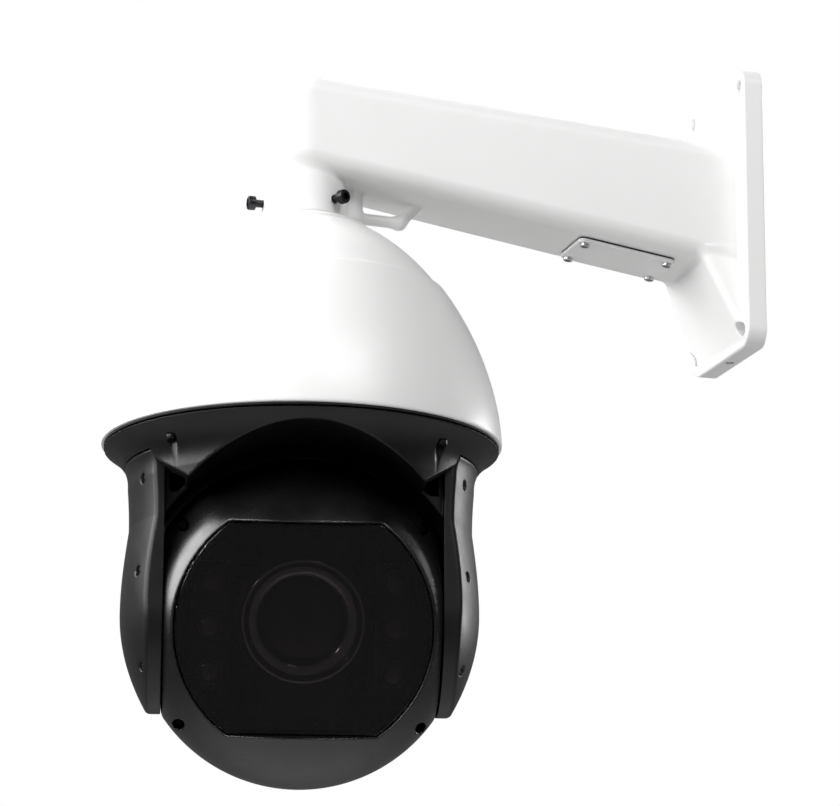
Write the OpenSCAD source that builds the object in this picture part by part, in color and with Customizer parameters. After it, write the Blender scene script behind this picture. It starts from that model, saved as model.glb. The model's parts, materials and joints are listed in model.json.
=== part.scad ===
// Wall-mounted pan-tilt-zoom dome camera.
// The origin is the centre of the wall plate's back face: +Y goes into the wall, +Z is up.
// The head's own modules look along -Y and are turned about the pan axis afterwards.

/* [Wall bracket] */
// Width of the wall plate
plate_w = 102; // [96:1:120]
// Height of the wall plate
plate_h = 192; // [186:1:220]
// Thickness of the wall plate
plate_t = 14; // [10:1:18]
// Distance between the bolt holes across the plate
bolt_dx = 85; // [78:1:86]
// Distance between the bolt holes up the plate
bolt_dz = 168; // [160:1:170]
// Diameter of a bolt hole
bolt_d = 9; // [6:0.5:11]
// Diameter of the cable entry in the wall plate
entry_d = 44; // [30:1:50]
// Distance from the wall to the pan axis
reach = 301; // [290:1:360]
// Outer diameter of the bracket's vertical tube
tube_d = 56; // [54:1:60]

/* [Dome housing] */
// Diameter of the white housing at its rim
dome_d = 256; // [254:1:260]
// Height of the housing from rim to neck
dome_h = 155; // [153:1:157]
// Wall thickness of the housing
dome_wall = 3; // [2.5:0.25:3.5]
// Outer diameter of the neck pipe
neck_d = 48; // [44:1:48]

/* [Pan head] */
// Direction that the head faces, turned about the pan axis
rest_pan = 78; // [0:1:359]
// Diameter of the black skirt at its top
skirt_d = 254; // [253:1:254]
// Space between the two yoke arms
arm_gap = 173; // [173:0.5:174]
// Depth of a yoke arm, front to back
arm_depth = 116; // [110:1:118]
// Radius of the arch cut in the skirt over the ball
arch_r = 104.6; // [104.4:0.2:105]

/* [Camera ball] */
// Downward tilt of the ball at rest
rest_tilt = 13; // [0:1:60]
// Diameter of the ball
ball_d = 208; // [207:0.5:208]
// Width of the ball across its flat sides
ball_w = 172; // [171:0.5:172]
// Distance from the ball's centre to the window's face
window_y = 65; // [64:0.5:65]
// Height of the window between its two flats
window_h = 131; // [128:1:134]
// Outer diameter of the lens ring
lens_d = 77; // [74:1:80]

/* [Gear train] */
// Teeth of the pan gear
pan_teeth = 80; // [80:4:84]
// Teeth of the pan pinion
pan_pinion_teeth = 16; // [14:2:16]
// Teeth of the tilt gear
tilt_teeth = 56; // [52:4:56]
// Teeth of the tilt pinion
tilt_pinion_teeth = 14; // [14:1:15]

/* [Hidden] */
$fn = 96;

white_paint = [0.93, 0.93, 0.92];
black_shell = [0.07, 0.07, 0.08];
rubber_black = [0.03, 0.03, 0.03];
steel = [0.68, 0.69, 0.7];
board_green = [0.05, 0.3, 0.16];
alloy = [0.75, 0.76, 0.78];
brass_yellow = [0.78, 0.62, 0.3];

hull_fn = 32;
module_mm = 1;                    // gear module
pressure = 20;                    // gear pressure angle, degrees
gap = 0.3;                        // clearance between pieces that only lie side by side
run = 0.05;                       // radial clearance of a running fit

// Bracket
arm_w_wall = 78;
arm_top_wall = 44;
arm_bottom_wall = -39;
arm_w_end = 66;
arm_top_end = 67;
arm_bottom_end = 10;
arm_wall = 5;
tube_bottom = -24;
socket_r = neck_d / 2 + 0.3;
lock_z = -14;                     // height of the three locking screws
lock_r = 2.5;
cover_y = [-120, -52];            // ends of the access cover under the arm
cover_w = 44;
cover_t = 2.5;
arm_root = plate_t - 2;           // the arm's outline starts inside the plate
arm_slope = atan2(arm_bottom_end - arm_bottom_wall, reach + arm_w_end / 2 - arm_root);
plate_corner = 12;

// Dome
rim_z = -175;
seam_z = -73;
dome_r = dome_d / 2;
cap_step = 2;                     // the shell's top edge stands this far outside the cap
ledge_z = -167;
ledge_r = 106;
chassis_t = 3;
chassis_r = 120;
chassis_screw_r = 112;
board_z = -112;
power_z = -92;
standoff_xy = 49;

// Pan drive
spindle_r = 20;
turntable_r = 119.5;
turntable_z = -180;
skirt_top = -177.5;
web_bottom = -184;
bearing_z = -168;
bearing_h = 10;
bearing_mid = 26;
bearing_ball_r = 2.6;
bearing_outer_r = 33;
pan_gear_z = -177.3;
pan_gear_t = 4;
pan_gear_r = pan_teeth * module_mm / 2;
pan_centre = pan_gear_r + pan_pinion_teeth * module_mm / 2;
yoke_screw_r = 114;
yoke_screw_at = [47, 133, 227, 313];

// Yoke and ball
ball_z = -288.5;
ball_r = ball_d / 2;
arm_in = arm_gap / 2;
arm_half = arm_depth / 2;
arm_seam_z = -190;
skin = 3;
tilt_gear_x = arm_in + 7;
tilt_gear_t = 4;
tilt_centre = (tilt_teeth + tilt_pinion_teeth) * module_mm / 2;
tilt_motor_r = 11;
hub_r = 12;
hub_bore = 8;
tilt_bearing_r = 19;
tilt_bearing_x = [arm_in + 0.5, arm_in + 5.5];
ball_wall = 3;
split_y = 24;                     // parting plane of the ball, behind the tilt axis
seal_t = 0.8;
glass_t = 3;
glass_r = 79.5;
lip_r = 75.5;
lip_y = [window_y - 4, window_y - 7]; // front and back of the lip that the window rests on
ball_screw_x = 75;
ball_screw_z = 61.5;
lens_z = 4;                       // the lens sits a little above the ball's centre
barrel_r = 35;
barrel_bore = 31;
chassis_box = [68, 32, 60];       // the camera block, lateral, along the lens axis, and up
chassis_y = 30;
led_x = 57;                       // lateral distance of the lamp boards

// ---------- shapes used more than once ----------

// Radius of the dome's outer surface at a height
function dome_at(z) = dome_r * sqrt(max(0, 1 - pow((z - rim_z) / dome_h, 1.7)));

// Outline of the dome from height a up to height b, moved inwards by inset
function dome_line(a, b, inset, n = 14) =
    [for (i = [0:n]) let (z = a + (b - a) * i / n) [dome_at(z) - inset, z]];

// Radius of the skirt and arm covers: a flare at the top that blends into a barrel
function head_at(z) = z > -205
    ? 110 + (skirt_d / 2 - 110) * pow((z + 205) / (205 + skirt_top), 2.7)
    : z > -232
        ? 108.8 + 1.2 * pow((z + 232) / 27, 2)
        : 108.8 + 4.5 * sin(90 * min(1, (-232 - z) / 52)) - 19 * pow(max(0, -284 - z) / 64, 2);
function head_line(a, b, inset, n = 24) =
    [for (i = [0:n]) let (z = a + (b - a) * i / n) [head_at(z) - inset, z]];

// Half angle of an involute tooth at radius r
function involute(angle) = tan(angle) * 180 / PI - angle;
function tooth_half(r, rp, rb) =
    88 / (2 * rp / module_mm) + involute(pressure) - involute(acos(min(1, rb / r)));
function tooth_radii(rb, rr, ra, n = 4) =
    concat([rr], [for (i = [0:n]) max(rb, rr) + (ra - max(rb, rr)) * i / n]);

// Outline of a spur gear with involute flanks
function gear_line(teeth) =
    let (rp = teeth * module_mm / 2, rb = rp * cos(pressure), rr = rp - 1.2 * module_mm)
    let (radii = tooth_radii(rb, rr, rp + 0.9 * module_mm), last = len(radii) - 1)
    [for (t = [0:teeth - 1]) for (s = [0:2 * last + 1])
        let (k = s <= last ? s : 2 * last + 1 - s)
        let (side = s <= last ? -1 : 1)
        let (a = 360 * t / teeth + side * tooth_half(max(radii[k], rb), rp, rb))
        radii[k] * [cos(a), sin(a)]];

module gear(teeth, thick, bore_r) {
    linear_extrude(thick)
        difference() {
            polygon(gear_line(teeth));
            circle(bore_r);
        }
}

module ring(r_out, r_in, h) {
    difference() {
        cylinder(r = r_out, h = h);
        translate([0, 0, -1]) cylinder(r = r_in, h = h + 2);
    }
}

// A cylinder along +X
module along_x(r, h) {
    rotate([0, 90, 0]) cylinder(r = r, h = h);
}

// A cylinder along -Y
module forward(r, h) {
    rotate([90, 0, 0]) cylinder(r = r, h = h);
}

module rounded_rect(w, h, r) {
    hull()
        for (x = [-1, 1], y = [-1, 1])
            translate([x * (w / 2 - r), y * (h / 2 - r)]) circle(r, $fn = hull_fn);
}

// A socket-head screw whose head's underside is at z = 0, with its shank going up
module screw(r, length, head_r, head_h) {
    difference() {
        union() {
            translate([0, 0, -head_h]) cylinder(r = head_r, h = head_h);
            cylinder(r = r, h = length);
        }
        translate([0, 0, -head_h - 0.1]) cylinder(r = head_r * 0.5, h = head_h * 0.6, $fn = 6);
    }
}

module mirror_x() {
    children();
    mirror([1, 0, 0]) children();
}

// Places the head on the pan axis, turned to face its rest direction
module head() {
    translate([0, -reach, 0]) rotate([0, 0, rest_pan]) children();
}

// Places the ball's pieces at the ball's centre, tilted down
module ball() {
    head() translate([0, 0, ball_z]) rotate([rest_tilt, 0, 0]) children();
}

module on_dome_axis() {
    translate([0, -reach, 0]) children();
}

// ---------- wall bracket ----------

// A rounded drum round the tube's axis, the end of the arm
module arm_end(r, low, high, edge) {
    translate([0, -reach, 0])
        rotate_extrude($fn = 48)
            polygon(concat([[0, low], [r, low]],
                [for (a = [0:15:90]) [r - edge + edge * cos(a), high - edge + edge * sin(a)]],
                [[0, high]]));
}

module arm_outside() {
    hull() {
        translate([0, -arm_root + 2, (arm_top_wall + arm_bottom_wall) / 2])
            rotate([90, 0, 0])
                linear_extrude(2)
                    rounded_rect(arm_w_wall, arm_top_wall - arm_bottom_wall, 11);
        arm_end(arm_w_end / 2, arm_bottom_end, arm_top_end, 11);
    }
}

module arm_inside() {
    hull() {
        translate([0, -arm_root + 2, (arm_top_wall + arm_bottom_wall) / 2])
            rotate([90, 0, 0])
                linear_extrude(1)
                    rounded_rect(arm_w_wall - 2 * arm_wall, arm_top_wall - arm_bottom_wall - 2 * arm_wall, 7);
        arm_end(arm_w_end / 2 - arm_wall, arm_bottom_end + arm_wall, arm_top_end - arm_wall, 7);
    }
}

module boot() {
    hull() {
        for (x = [-1, 1]) {
            translate([x * (arm_w_wall / 2 - 8), -30, -35]) sphere(8, $fn = hull_fn);
            translate([x * (arm_w_wall / 2 - 5), -plate_t, -30]) sphere(5, $fn = hull_fn);
            translate([x * (plate_w / 2 - 14), -plate_t + 4, -plate_h / 2 + 11]) sphere(6, $fn = hull_fn);
        }
    }
}

// Frame of the arm's underside: local z = 0 on the surface, local y along the arm
module under_arm(y) {
    translate([0, -arm_root, arm_bottom_wall])
        rotate([-arm_slope, 0, 0])
            translate([0, y + arm_root, 0]) children();
}

cover_screw_y = [cover_y[0] + 5, cover_y[1] - 5];

module cover_screw_spots() {
    for (y = cover_screw_y, x = [-1, 1]) under_arm(y) translate([x * (cover_w / 2 - 5), 0, 0]) children();
}

module plate_body() {
    rotate([90, 0, 0]) linear_extrude(plate_t - 2) rounded_rect(plate_w, plate_h, plate_corner);
    translate([0, -plate_t + 2, 0])
        rotate([90, 0, 0]) linear_extrude(2) rounded_rect(plate_w - 2, plate_h - 2, plate_corner - 1);
}

module bolt_spots() {
    for (x = [-1, 1], z = [-1, 1]) translate([x * bolt_dx / 2, 0, z * bolt_dz / 2]) children();
}

loop_r = 3.8;
loop_low = [-262, -18];
loop_bend = [-236, -19];
loop_high = [-224, -5];

module bar_yz(a, b, r) {
    d = b - a;
    translate([0, a[0], a[1]]) rotate([atan2(-d[0], d[1]), 0, 0]) cylinder(r = r, h = norm(d));
}

// The rib that stiffens the tube towards the wall
module tube_rib() {
    translate([0, -reach + tube_d / 2 + 2, tube_bottom + 2])
        cylinder(r = 9, h = arm_bottom_end + 6 - tube_bottom);
}

module wall_plate() {
    color(white_paint)
        difference() {
            union() {
                plate_body();
                difference() {
                    boot();
                    arm_outside();
                }
            }
            translate([0, 1, 0]) forward(entry_d / 2, plate_t + 2);
            bolt_spots() translate([0, 1, 0]) forward(bolt_d / 2, plate_t + 2);
            for (x = [-1, 1])
                translate([x * bolt_dx / 2 - 1.5, -plate_t - 1, bolt_dz / 2 - 20]) cube([3, 2.5, 17]);
            translate([0, -plate_t / 2, -plate_h / 2 - 1]) cylinder(d = 6, h = 12);
        }
}

module bracket_arm() {
    color(white_paint)
        difference() {
            arm_outside();
            translate([-plate_w, -plate_t, -plate_h]) cube(2 * plate_h);
            arm_inside();
            on_dome_axis() translate([0, 0, tube_bottom])
                cylinder(r = socket_r, h = arm_bottom_end + 7 - tube_bottom);
            under_arm(cover_y[0]) translate([-cover_w / 2 + 5, 10, -1])
                cube([cover_w - 10, cover_y[1] - cover_y[0] - 20, arm_wall + 3]);
            cover_screw_spots() translate([0, 0, -1]) cylinder(r = 1.7, h = 6);
        }
}

module bracket_tube() {
    color(white_paint)
        difference() {
            union() {
                on_dome_axis() translate([0, 0, tube_bottom])
                    cylinder(d = tube_d, h = arm_bottom_end + 8 - tube_bottom);
                tube_rib();
            }
            arm_outside();
            on_dome_axis() translate([0, 0, tube_bottom - 1])
                cylinder(r = socket_r, h = arm_bottom_end + 12 - tube_bottom);
            for (a = [0, 120, 240])
                on_dome_axis() rotate([0, 0, a]) translate([0, 0, lock_z]) forward(lock_r + 0.1, tube_d);
        }
}

module safety_loop() {
    color(white_paint)
        difference() {
            union() {
                bar_yz(loop_low - [5, 0], loop_bend, loop_r);
                translate([0, loop_bend[0], loop_bend[1]]) sphere(loop_r + 0.3);
                bar_yz(loop_bend, loop_high + [4, 4], loop_r);
            }
            arm_outside();
            tube_rib();
        }
}

module arm_cover() {
    color(white_paint)
        difference() {
            under_arm((cover_y[0] + cover_y[1]) / 2) translate([0, 0, -cover_t - 1])
                linear_extrude(cover_t) rounded_rect(cover_w, cover_y[1] - cover_y[0], 5);
            cover_screw_spots() translate([0, 0, -cover_t - 2]) cylinder(r = 1.9, h = cover_t + 2);
        }
}

module arm_cover_gasket() {
    color(rubber_black)
        difference() {
            under_arm((cover_y[0] + cover_y[1]) / 2) translate([0, 0, -1])
                linear_extrude(0.9)
                    difference() {
                        rounded_rect(cover_w - 1, cover_y[1] - cover_y[0] - 1, 4.5);
                        square([cover_w - 10, cover_y[1] - cover_y[0] - 20], center = true);
                    }
            cover_screw_spots() translate([0, 0, -2]) cylinder(r = 1.9, h = 3);
        }
}

module arm_cover_screws() {
    color(steel)
        cover_screw_spots() translate([0, 0, -cover_t - 1]) screw(1.6, 7.5, 3.2, 2.2);
}

module locking_screws() {
    color(steel)
        for (a = [0, 120, 240])
            on_dome_axis() rotate([0, 0, a]) translate([0, -tube_d / 2 - 5, lock_z])
                rotate([-90, 0, 0]) screw(lock_r, tube_d / 2 + 5 - neck_d / 2 + 0.7, 4.6, 5);
}

// ---------- dome housing ----------

neck_top = -3;
neck_bottom = -60;
neck_wall = 3;
neck_flange_r = neck_d / 2 + 9;
neck_flange_t = 4;
neck_screw_r = neck_d / 2 + 5;
groove = 1.2;                     // depth of the grooves round the neck
cap_seat = -74.8;                 // underside of the cap's flange
shell_seat = cap_seat - 0.8;
flange_r = 76;
cap_screw_r = 81;

module neck_pipe() {
    r = neck_d / 2;
    color(alloy)
        on_dome_axis()
            difference() {
                rotate_extrude()
                    polygon([
                        [r - neck_wall, neck_bottom], [neck_flange_r, neck_bottom],
                        [neck_flange_r, neck_bottom + neck_flange_t], [r, neck_bottom + neck_flange_t],
                        [r, lock_z - 4], [r - groove, lock_z - 3], [r - groove, lock_z + 3], [r, lock_z + 4],
                        [r, neck_top - 6], [r - groove, neck_top - 6], [r - groove, neck_top - 3.5],
                        [r, neck_top - 3.5], [r, neck_top], [r - neck_wall, neck_top]]);
                for (a = [45:90:315]) rotate([0, 0, a])
                    translate([neck_screw_r, 0, neck_bottom - 1]) cylinder(r = 1.8, h = neck_flange_t + 2);
            }
}

module neck_o_ring() {
    color(rubber_black)
        on_dome_axis() translate([0, 0, neck_top - 4.75])
            rotate_extrude() translate([neck_d / 2 - 0.45, 0]) circle(0.7, $fn = 24);
}

module top_cap() {
    bore_r = neck_d / 2 + gap;
    collar_r = neck_d / 2 + 10;
    collar_z = neck_bottom + neck_flange_t;
    color(white_paint)
        on_dome_axis()
            difference() {
                rotate_extrude($fn = 144)
                    polygon(concat(
                        [[flange_r, cap_seat], [dome_at(seam_z) - cap_step, cap_seat]],
                        dome_line(seam_z, -31, cap_step, 14),
                        [[38.5, -28.5], [34.5, -26.3], [31, -25.5], [bore_r, -25.5],
                         [bore_r, collar_z], [collar_r, collar_z], [collar_r, -38]],
                        dome_line(-40, -66, cap_step + dome_wall, 10),
                        [[flange_r, -69.5]]));
                for (a = [45:90:315]) rotate([0, 0, a])
                    translate([neck_screw_r, 0, collar_z - 1]) cylinder(r = 1.5, h = 10);
                for (a = [0:60:300]) rotate([0, 0, a])
                    translate([cap_screw_r, 0, cap_seat - 1]) cylinder(r = 1.5, h = 6);
            }
}

module top_cap_seal() {
    color(rubber_black)
        on_dome_axis()
            difference() {
                translate([0, 0, shell_seat])
                    ring(dome_at(seam_z) - cap_step - 1, flange_r + 0.5, cap_seat - shell_seat);
                for (a = [0:60:300]) rotate([0, 0, a])
                    translate([cap_screw_r, 0, shell_seat - 1]) cylinder(r = 1.9, h = 3);
            }
}

// Screws that hold the cap: four from the neck pipe's flange and six from the dome shell's flange
module top_cap_screws() {
    color(steel)
        on_dome_axis() {
            for (a = [45:90:315]) rotate([0, 0, a])
                translate([neck_screw_r, 0, neck_bottom]) screw(1.5, 12, 3, 2.5);
            for (a = [0:60:300]) rotate([0, 0, a])
                translate([cap_screw_r, 0, shell_seat - dome_wall - 0.4]) screw(1.5, 8, 3, 2.5);
        }
}

module dome_shell() {
    lip = dome_at(seam_z) - cap_step + gap;
    color(white_paint)
        on_dome_axis()
            difference() {
                rotate_extrude($fn = 144)
                    polygon(concat(
                        dome_line(rim_z, seam_z, 0, 24),
                        [[lip, seam_z], [lip, shell_seat], [flange_r, shell_seat],
                         [flange_r, shell_seat - dome_wall - 0.4]],
                        dome_line(shell_seat - dome_wall - 0.4, ledge_z + 8, dome_wall, 18),
                        [[ledge_r, ledge_z + 3], [ledge_r, ledge_z], [chassis_r + gap, ledge_z],
                         [chassis_r + gap, rim_z]]));
                for (a = [30:60:330]) rotate([0, 0, a])
                    translate([chassis_screw_r, 0, ledge_z - 1]) cylinder(r = 1.5, h = 6);
                for (a = [0:60:300]) rotate([0, 0, a])
                    translate([cap_screw_r, 0, shell_seat - dome_wall - 1]) cylinder(r = 1.9, h = 5);
            }
}

module rim_gasket() {
    color(rubber_black)
        on_dome_axis() translate([0, 0, rim_z - 1.4]) ring(dome_r - 2, dome_r - 6.5, 1.4);
}

// ---------- chassis inside the dome ----------

motor_xy = 20;
motor_h = 28;
motor_pilot_r = 8;
plate_z = ledge_z - chassis_t;
post_y = 42;
bridge_z = -145;

module standoff_spots() {
    for (x = [-1, 1], y = [-1, 1]) on_dome_axis() translate([x * standoff_xy, y * standoff_xy, 0]) children();
}

module chassis_plate() {
    color(alloy)
        difference() {
            union() {
                on_dome_axis() translate([0, 0, plate_z]) cylinder(r = chassis_r, h = chassis_t, $fn = 144);
                on_dome_axis() translate([0, 0, plate_z]) cylinder(r = bearing_outer_r + 4, h = 12);
            }
            on_dome_axis() translate([0, 0, plate_z - 1]) cylinder(r = bearing_outer_r - 2, h = 20);
            on_dome_axis() translate([0, 0, bearing_z - 0.1]) cylinder(r = bearing_outer_r + run, h = 20);
            on_dome_axis() translate([pan_centre, 0, plate_z - 1]) cylinder(r = motor_pilot_r + 0.5, h = 20);
            for (a = [30:60:330]) on_dome_axis() rotate([0, 0, a])
                translate([chassis_screw_r, 0, plate_z - 1]) cylinder(r = 1.8, h = 6);
            standoff_spots() translate([0, 0, plate_z - 1]) cylinder(r = 1.5, h = 6);
        }
}

// Screws of the chassis plate, and of the boards on top of their stand-offs
module chassis_screws() {
    color(steel) {
        on_dome_axis()
            for (a = [30:60:330]) rotate([0, 0, a])
                translate([chassis_screw_r, 0, plate_z]) screw(1.5, 8, 3, 2.2);
        standoff_spots() translate([0, 0, power_z + 1.6]) rotate([180, 0, 0]) screw(1.4, 8, 2.8, 2);
    }
}

module board_standoffs() {
    color(brass_yellow)
        standoff_spots() {
            translate([0, 0, plate_z]) cylinder(r = 1.5, h = chassis_t);
            translate([0, 0, ledge_z]) cylinder(r = 3.5, h = board_z - ledge_z, $fn = 6);
            translate([0, 0, board_z - 0.2]) cylinder(r = 1.5, h = 2);
            translate([0, 0, board_z + 1.6])
                difference() {
                    cylinder(r = 3.5, h = power_z - board_z - 1.6, $fn = 6);
                    translate([0, 0, power_z - board_z - 10]) cylinder(r = 1.5, h = 10);
                }
        }
}

// A round circuit board with its parts: boxes give [x, y, wide, deep, high]
module board(r, parts) {
    difference() {
        cylinder(r = r, h = 1.6);
        for (x = [-1, 1], y = [-1, 1]) translate([x * standoff_xy, y * standoff_xy, -1]) cylinder(r = 1.7, h = 4);
        translate([0, 0, -1]) cylinder(r = 9, h = 4);
    }
    for (b = parts) translate([b[0], b[1], 1.6]) cube([b[2], b[3], b[4]]);
}

module main_board() {
    color(board_green)
        on_dome_axis() translate([0, 0, board_z])
            board(82, [[-30, 20, 22, 22, 3], [14, 22, 16, 16, 2], [20, -30, 30, 12, 8],
                       [-45, -20, 14, 20, 9], [-16, -44, 24, 10, 6], [58, -8, 10, 20, 7]]);
}

module power_board() {
    color(board_green)
        on_dome_axis() translate([0, 0, power_z])
            board(72, [[-34, 14, 26, 24, 14], [18, 16, 14, 14, 9], [-20, -40, 40, 12, 7],
                       [30, -20, 14, 12, 10], [-50, -22, 12, 18, 8]]);
}

module pan_motor() {
    color([0.2, 0.2, 0.22])
        on_dome_axis() translate([pan_centre, 0, ledge_z]) {
            translate([-motor_xy / 2, -motor_xy / 2, 0]) cube([motor_xy, motor_xy, motor_h]);
            translate([0, 0, -2]) cylinder(r = motor_pilot_r, h = 3);
            translate([0, 0, -10.3]) cylinder(r = 2.5, h = 11);
        }
}

module bearing_groove() {
    rotate_extrude() translate([bearing_mid, 0]) circle(bearing_ball_r + 0.08, $fn = 48);
}

module pan_bearing_outer() {
    color(steel)
        on_dome_axis() translate([0, 0, bearing_z])
            difference() {
                ring(bearing_outer_r, bearing_mid + 2, bearing_h);
                translate([0, 0, bearing_h / 2]) bearing_groove();
            }
}

module slip_ring_stator() {
    color([0.25, 0.26, 0.3])
        on_dome_axis()
            difference() {
                union() {
                    translate([0, 0, bridge_z - 3]) cylinder(r = 17, h = 3);
                    translate([0, 0, bridge_z - 3]) cylinder(r = 11, h = 26);
                }
                translate([0, 0, bridge_z - 4]) cylinder(r = 5 + run, h = 24);
            }
}

module slip_ring_bridge() {
    color(alloy)
        on_dome_axis() {
            difference() {
                translate([-15, -post_y - 5, bridge_z]) cube([30, 2 * post_y + 10, 2]);
                translate([0, 0, bridge_z - 1]) cylinder(r = 11 + gap, h = 4);
            }
            for (y = [-1, 1]) translate([0, y * post_y, ledge_z]) cylinder(r = 3.4, h = bridge_z - ledge_z + 1);
        }
}

module pan_pinion() {
    color(brass_yellow)
        on_dome_axis() translate([pan_centre, 0, pan_gear_z - 0.1]) rotate([0, 0, 180 / pan_pinion_teeth])
            gear(pan_pinion_teeth, pan_gear_t + 0.2, 2.5 + run);
}

// ---------- turntable and yoke ----------

module turntable() {
    color(alloy)
        head()
            difference() {
                rotate_extrude($fn = 144)
                    polygon([
                        [15, turntable_z], [turntable_r, turntable_z], [turntable_r, skirt_top],
                        [22, skirt_top], [22, bearing_z], [spindle_r, bearing_z],
                        [spindle_r, bearing_z + bearing_h + 0.3], [spindle_r - groove, bearing_z + bearing_h + 0.3],
                        [spindle_r - groove, bearing_z + bearing_h + 1.9], [spindle_r, bearing_z + bearing_h + 1.9],
                        [spindle_r, -150], [15, -150]]);
                for (a = yoke_screw_at) rotate([0, 0, a - 90])
                    translate([yoke_screw_r, 0, turntable_z - 1]) cylinder(r = 1.8, h = 6);
            }
}

module pan_gear() {
    color(brass_yellow)
        on_dome_axis() translate([0, 0, pan_gear_z]) gear(pan_teeth, pan_gear_t, 22.3);
}

module pan_bearing_inner() {
    color(steel)
        head() translate([0, 0, bearing_z + 0.1])
            difference() {
                ring(bearing_mid - 2, spindle_r + run, bearing_h);
                translate([0, 0, bearing_h / 2 - 0.1]) bearing_groove();
            }
}

module pan_bearing_balls() {
    color(steel)
        head() translate([0, 0, bearing_z + bearing_h / 2])
            for (a = [0:24:336]) rotate([0, 0, a]) translate([bearing_mid, 0, 0]) sphere(bearing_ball_r);
}

module pan_circlip() {
    color(steel)
        head() translate([0, 0, bearing_z + bearing_h + 0.4])
            difference() {
                ring(spindle_r + 2.2, spindle_r - groove + 0.1, 1.4);
                translate([0, -2.5, -1]) cube([30, 5, 4]);
            }
}

module slip_ring_rotor() {
    color([0.25, 0.26, 0.3])
        head() {
            translate([0, 0, -176]) cylinder(r = 14.7, h = 3);
            translate([0, 0, -176]) cylinder(r = 10, h = 26);
            translate([0, 0, -151]) cylinder(r = 5, h = 22);
        }
}

// Solid of revolution of the skirt and arm covers, from height a down to b
module head_solid(a, b, inset = 0, fn = 144) {
    rotate_extrude($fn = fn)
        polygon(concat([[0, a]], head_line(a, b, inset), [[0, b]]));
}

// Side outline of an arm: straight above, round about the tilt axis below
module arm_side(half, top) {
    rotate([0, 90, 0]) linear_extrude(200) {
        circle(half, $fn = 144);
        translate([-(top - ball_z), -half]) square([top - ball_z, 2 * half]);
    }
}

// Zone of the skirt in front view: it hangs lower at the four corners between arch and arms
module skirt_zone() {
    rotate([90, 0, 0]) linear_extrude(300, center = true)
        polygon([[-130, skirt_top], [130, skirt_top], [130, arm_seam_z], [103, arm_seam_z], [95, -196],
                 [80, -219], [-80, -219], [-95, -196], [-103, arm_seam_z], [-130, arm_seam_z]]);
}

module arch() {
    intersection() {
        translate([0, 200, ball_z]) forward(arch_r, 400);
        translate([-arm_in, -200, ball_z - 150]) cube([2 * arm_in, 400, 300]);
    }
}

module yoke_screw_spots() {
    for (a = yoke_screw_at) rotate([0, 0, a - 90]) translate([yoke_screw_r, 0, 0]) children();
}

// Each arm cover's bolts: distance from the arm's middle, and height
arm_bolt_yz = [[44, -206.5], [46.5, -265.5], [37, -323]];
bolt_head_sink = 3.2;
bolt_boss_r = 4;
tray_boss_x = arm_in + 5;
shoulder_y = 50;                  // half depth and underside of the solid corners between arch and arms
shoulder_z = -232;

// Children see $seat, the place across the arm where a bolt's head rests
module arm_bolt_spots() {
    for (p = arm_bolt_yz, y = [-1, 1])
        let ($seat = sqrt(pow(head_at(p[1]), 2) - pow(p[0], 2)) - bolt_head_sink)
            translate([0, y * p[0], p[1]]) children();
}

// Plate with a rim that stands inside an arm's cover and carries the tilt axis
module arm_tray() {
    intersection() {
        union() {
            translate([arm_in, -100, ball_z - 100]) cube([4, 200, 250]);
            difference() {
                translate([arm_in + 1, -100, ball_z - 100])
                    cube([7, 200, arm_seam_z - skin - 1.2 - ball_z + 100]);
                translate([arm_in, 0, ball_z]) arm_side(arm_half - skin - 3, web_bottom - 8);
            }
            arm_bolt_spots() translate([arm_in, 0, 0]) along_x(bolt_boss_r, tray_boss_x - arm_in);
            for (y = [-1, 1]) translate([arm_in, y * 20, -238]) along_x(4, 11.7);
        }
        translate([0, 0, ball_z]) arm_side(arm_half - skin - 0.4, web_bottom + 2);
        head_solid(web_bottom + 2, ball_z - arm_half - 1, skin + 0.6);
    }
    translate([arm_in, 0, ball_z]) along_x(tilt_bearing_r + 4, 6);
}

// Pockets under the turntable that lighten the yoke on both sides of the arch
module yoke_pockets() {
    difference() {
        intersection() {
            head_solid(turntable_z + 1, -215, skin);
            translate([0, 0, -215]) cylinder(r = 101, h = 40);
        }
        translate([0, 200, ball_z]) forward(arch_r + skin, 400);
        for (x = [-1, 1]) translate([x * (arm_in + 9), 0, -200]) cube([24, 300, 60], center = true);
    }
}

module yoke() {
    color(black_shell)
        head()
            difference() {
                union() {
                    difference() {
                        intersection() {
                            head_solid(skirt_top, -222);
                            skirt_zone();
                        }
                        mirror_x() translate([arm_in, -arm_half - gap, arm_seam_z - 50])
                            cube([50, 2 * (arm_half + gap), 50]);
                    }
                    mirror_x() arm_tray();
                    translate([-arm_in - 2, -shoulder_y, shoulder_z])
                        cube([2 * arm_in + 4, 2 * shoulder_y, turntable_z - 2 - shoulder_z]);
                }
                translate([0, 0, turntable_z]) cylinder(r = turntable_r + gap, h = 10, $fn = 144);
                translate([0, 0, web_bottom - 1]) cylinder(r = 15, h = 10);
                yoke_pockets();
                yoke_screw_spots() {
                    translate([0, 0, -230]) cylinder(r = 4, h = 230 + web_bottom - 2);
                    translate([0, 0, -200]) cylinder(r = 1.8, h = 30);
                }
                arch();
                mirror_x() {
                    translate([arm_in - 1, 0, ball_z]) along_x(tilt_bearing_r - 2, 10);
                    translate([tilt_bearing_x[0], 0, ball_z]) along_x(tilt_bearing_r + run, 10);
                    arm_bolt_spots() translate([arm_in + 2, 0, 0]) along_x(1.5, 20);
                    arm_bolt_spots() translate([tray_boss_x, 0, 0]) along_x(bolt_boss_r + gap, 20);
                }
            }
}

module yoke_screws() {
    color(steel)
        head() yoke_screw_spots() translate([0, 0, web_bottom - 2]) screw(1.7, 6, 3.4, 3);
}

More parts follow.
